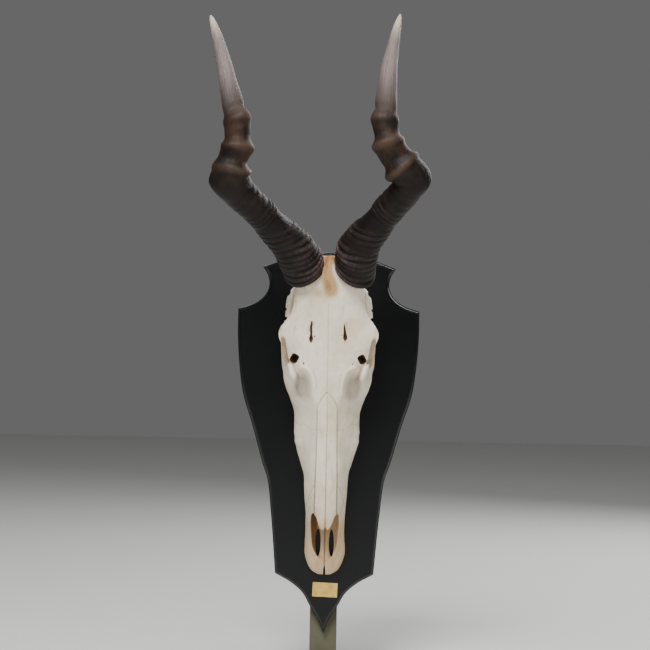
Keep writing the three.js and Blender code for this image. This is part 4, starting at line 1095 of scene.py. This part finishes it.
def lacquer_finish():
    paint = Paint("black_lacquer")
    grain = paint.noise(90, 4, 0.6, paint.stretched((1, 1, 0.08)))
    orange_peel = paint.noise(420, 2, 0.5)
    haze = paint.noise(9, 4, 0.6)
    paint.ground(haze, (5, 6, 7), (10, 11, 13))
    rough = 0.2 + 0.08 * haze + 0.04 * grain
    return paint.finish(rough, 0.6 * grain + 0.2 * orange_peel, 0.00005, Specular_IOR_Level=0.3)


def brass_finish(name, light, dark):
    paint = Paint(name)
    brushed = paint.noise(900, 3, 0.6, paint.stretched((0.04, 1, 1)))
    tarnish = paint.noise(130, 4, 0.6)
    paint.ground(tarnish.fade(0.4, 0.75), light, dark)
    return paint.finish(0.34 + 0.22 * tarnish, brushed, 0.00003, Metallic=0.75)


def steel_finish():
    paint = Paint("olive_paint")
    clouds = paint.noise(16, 5, 0.6)
    specks = paint.noise(330, 3, 0.6)
    paint.ground(clouds.fade(0.3, 0.7), (70, 68, 50), (88, 85, 64))
    paint.lay(specks.fade(0.62, 0.75) * 0.5, 50, 48, 36)
    return paint.finish(0.5 + 0.15 * clouds, 0.5 * specks, 0.0001)


def floor_finish():
    paint = Paint("pale_floor")
    clouds = paint.noise(1.5, 3, 0.5)
    paint.base = paint.mix(clouds, (0.62, 0.62, 0.60), (0.66, 0.66, 0.64))
    return paint.finish(0.7 + 0.05 * clouds)


def dress(piece, material):
    piece.data.materials.clear()
    piece.data.materials.append(material)


# Making the pieces

skull = build_skull()
horns = [horn("horn_left_ringed", -1, HORN_LEFT), horn("horn_right_ringed", 1, HORN_RIGHT)]
teeth, shield, label, pins, bar = cheek_teeth(), build_plaque(), build_label(), label_pins(), build_bar()
for piece in [skull, teeth, *horns]:
    alone(piece)
    bpy.ops.object.shade_smooth()
for piece in [shield, label, pins, bar]:
    alone(piece)
    bpy.ops.object.shade_smooth_by_angle(angle=math.radians(40))
    modified(piece, "WEIGHTED_NORMAL", keep_sharp=True, weight=100)

horn_skin = horn_finish()
for piece, slot, finish, nodes in (
        (skull, "bone", bone_finish(),
         ("cranium", "nasal_left", "nasal_right", "premaxilla_left", "premaxilla_right")),
        (teeth, "bone", tooth_finish(), ()),
        (horns[0], "horn", horn_skin, ("horn_left",)), (horns[1], "horn", horn_skin, ("horn_right",)),
        (shield, "black_wood", lacquer_finish(), ("plaque",)),
        (label, "label_brass", brass_finish("label_brass", (232, 196, 112), (204, 162, 78)), ("label",)),
        (pins, "label_brass", brass_finish("pin_brass", (190, 160, 90), (150, 120, 70)), ()),
        (bar, "bar_steel", steel_finish(), ("hanging_bar",))):
    if nodes:
        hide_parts(*nodes)
    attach(piece, "root")
    dress(piece, finish)


# The stage

# In metres. The camera sees VIEW_HALF to each side at VIEW_DISTANCE, and leans by 7 in 382.
CAMERA_PLACE, CAMERA_ROLL = (-0.0051, -3.0253, 0.1651), math.atan2(7, 382)
VIEW_HALF, VIEW_DISTANCE = 0.455, 3.0
FLOOR_SIZE, FLOOR_GAP = 12, 0.0005
# Each soft light's place, what it is turned to, its size and its power
LIGHTS = [("key", (-0.5, -2.3, 2.1), (0, -0.1, 0.05), 1.1, 125),
          ("fill", (2.0, -2.2, 0.5), (0, -0.1, 0.0), 1.6, 14),
          ("top", (0.1, -0.5, 2.3), (0, -0.1, 0.1), 1.0, 30),
          ("back", (1.2, 1.8, 1.2), (0, 0, 0.1), 1.5, 40)]
SKY_COLOUR, SKY_STRENGTH = (0.80, 0.81, 0.80, 1), 0.17


def facing(place, turn):
    """Where something on the stage stands, and which way it is turned."""
    return Matrix.Translation(place) @ turn.to_4x4()


def build_floor():
    place = (0, 0, BAR_BOTTOM * MM - FLOOR_GAP)
    floor = started("floor", bpy.ops.mesh.primitive_plane_add, size=FLOOR_SIZE, location=place)
    dress(floor, floor_finish())


def build_studio():
    lens = bpy.data.cameras.new("camera")
    lens.sensor_fit = "HORIZONTAL"
    lens.angle = 2 * math.atan(VIEW_HALF / VIEW_DISTANCE)
    camera = bpy.data.objects.new("camera", lens)
    right = Vector((math.cos(CAMERA_ROLL), 0, math.sin(CAMERA_ROLL)))
    up = Vector((-math.sin(CAMERA_ROLL), 0, math.cos(CAMERA_ROLL)))
    camera.matrix_world = facing(CAMERA_PLACE, Matrix((right, up, right.cross(up))).transposed())
    bpy.context.scene.collection.objects.link(camera)
    bpy.context.scene.camera = camera
    for name, place, aim, size, power in LIGHTS:
        lamp = bpy.data.lights.new(name, "AREA")
        lamp.size, lamp.energy = size, power
        light = bpy.data.objects.new(name, lamp)
        light.matrix_world = facing(place, (Vector(aim) - Vector(place)).to_track_quat("-Z", "Y").to_matrix())
        bpy.context.scene.collection.objects.link(light)
    sky = bpy.data.worlds.new("sky")
    sky.use_nodes = True
    background = sky.node_tree.nodes["Background"]
    background.inputs["Color"].default_value = SKY_COLOUR
    background.inputs["Strength"].default_value = SKY_STRENGTH
    bpy.context.scene.world = sky


build_floor()
build_studio()
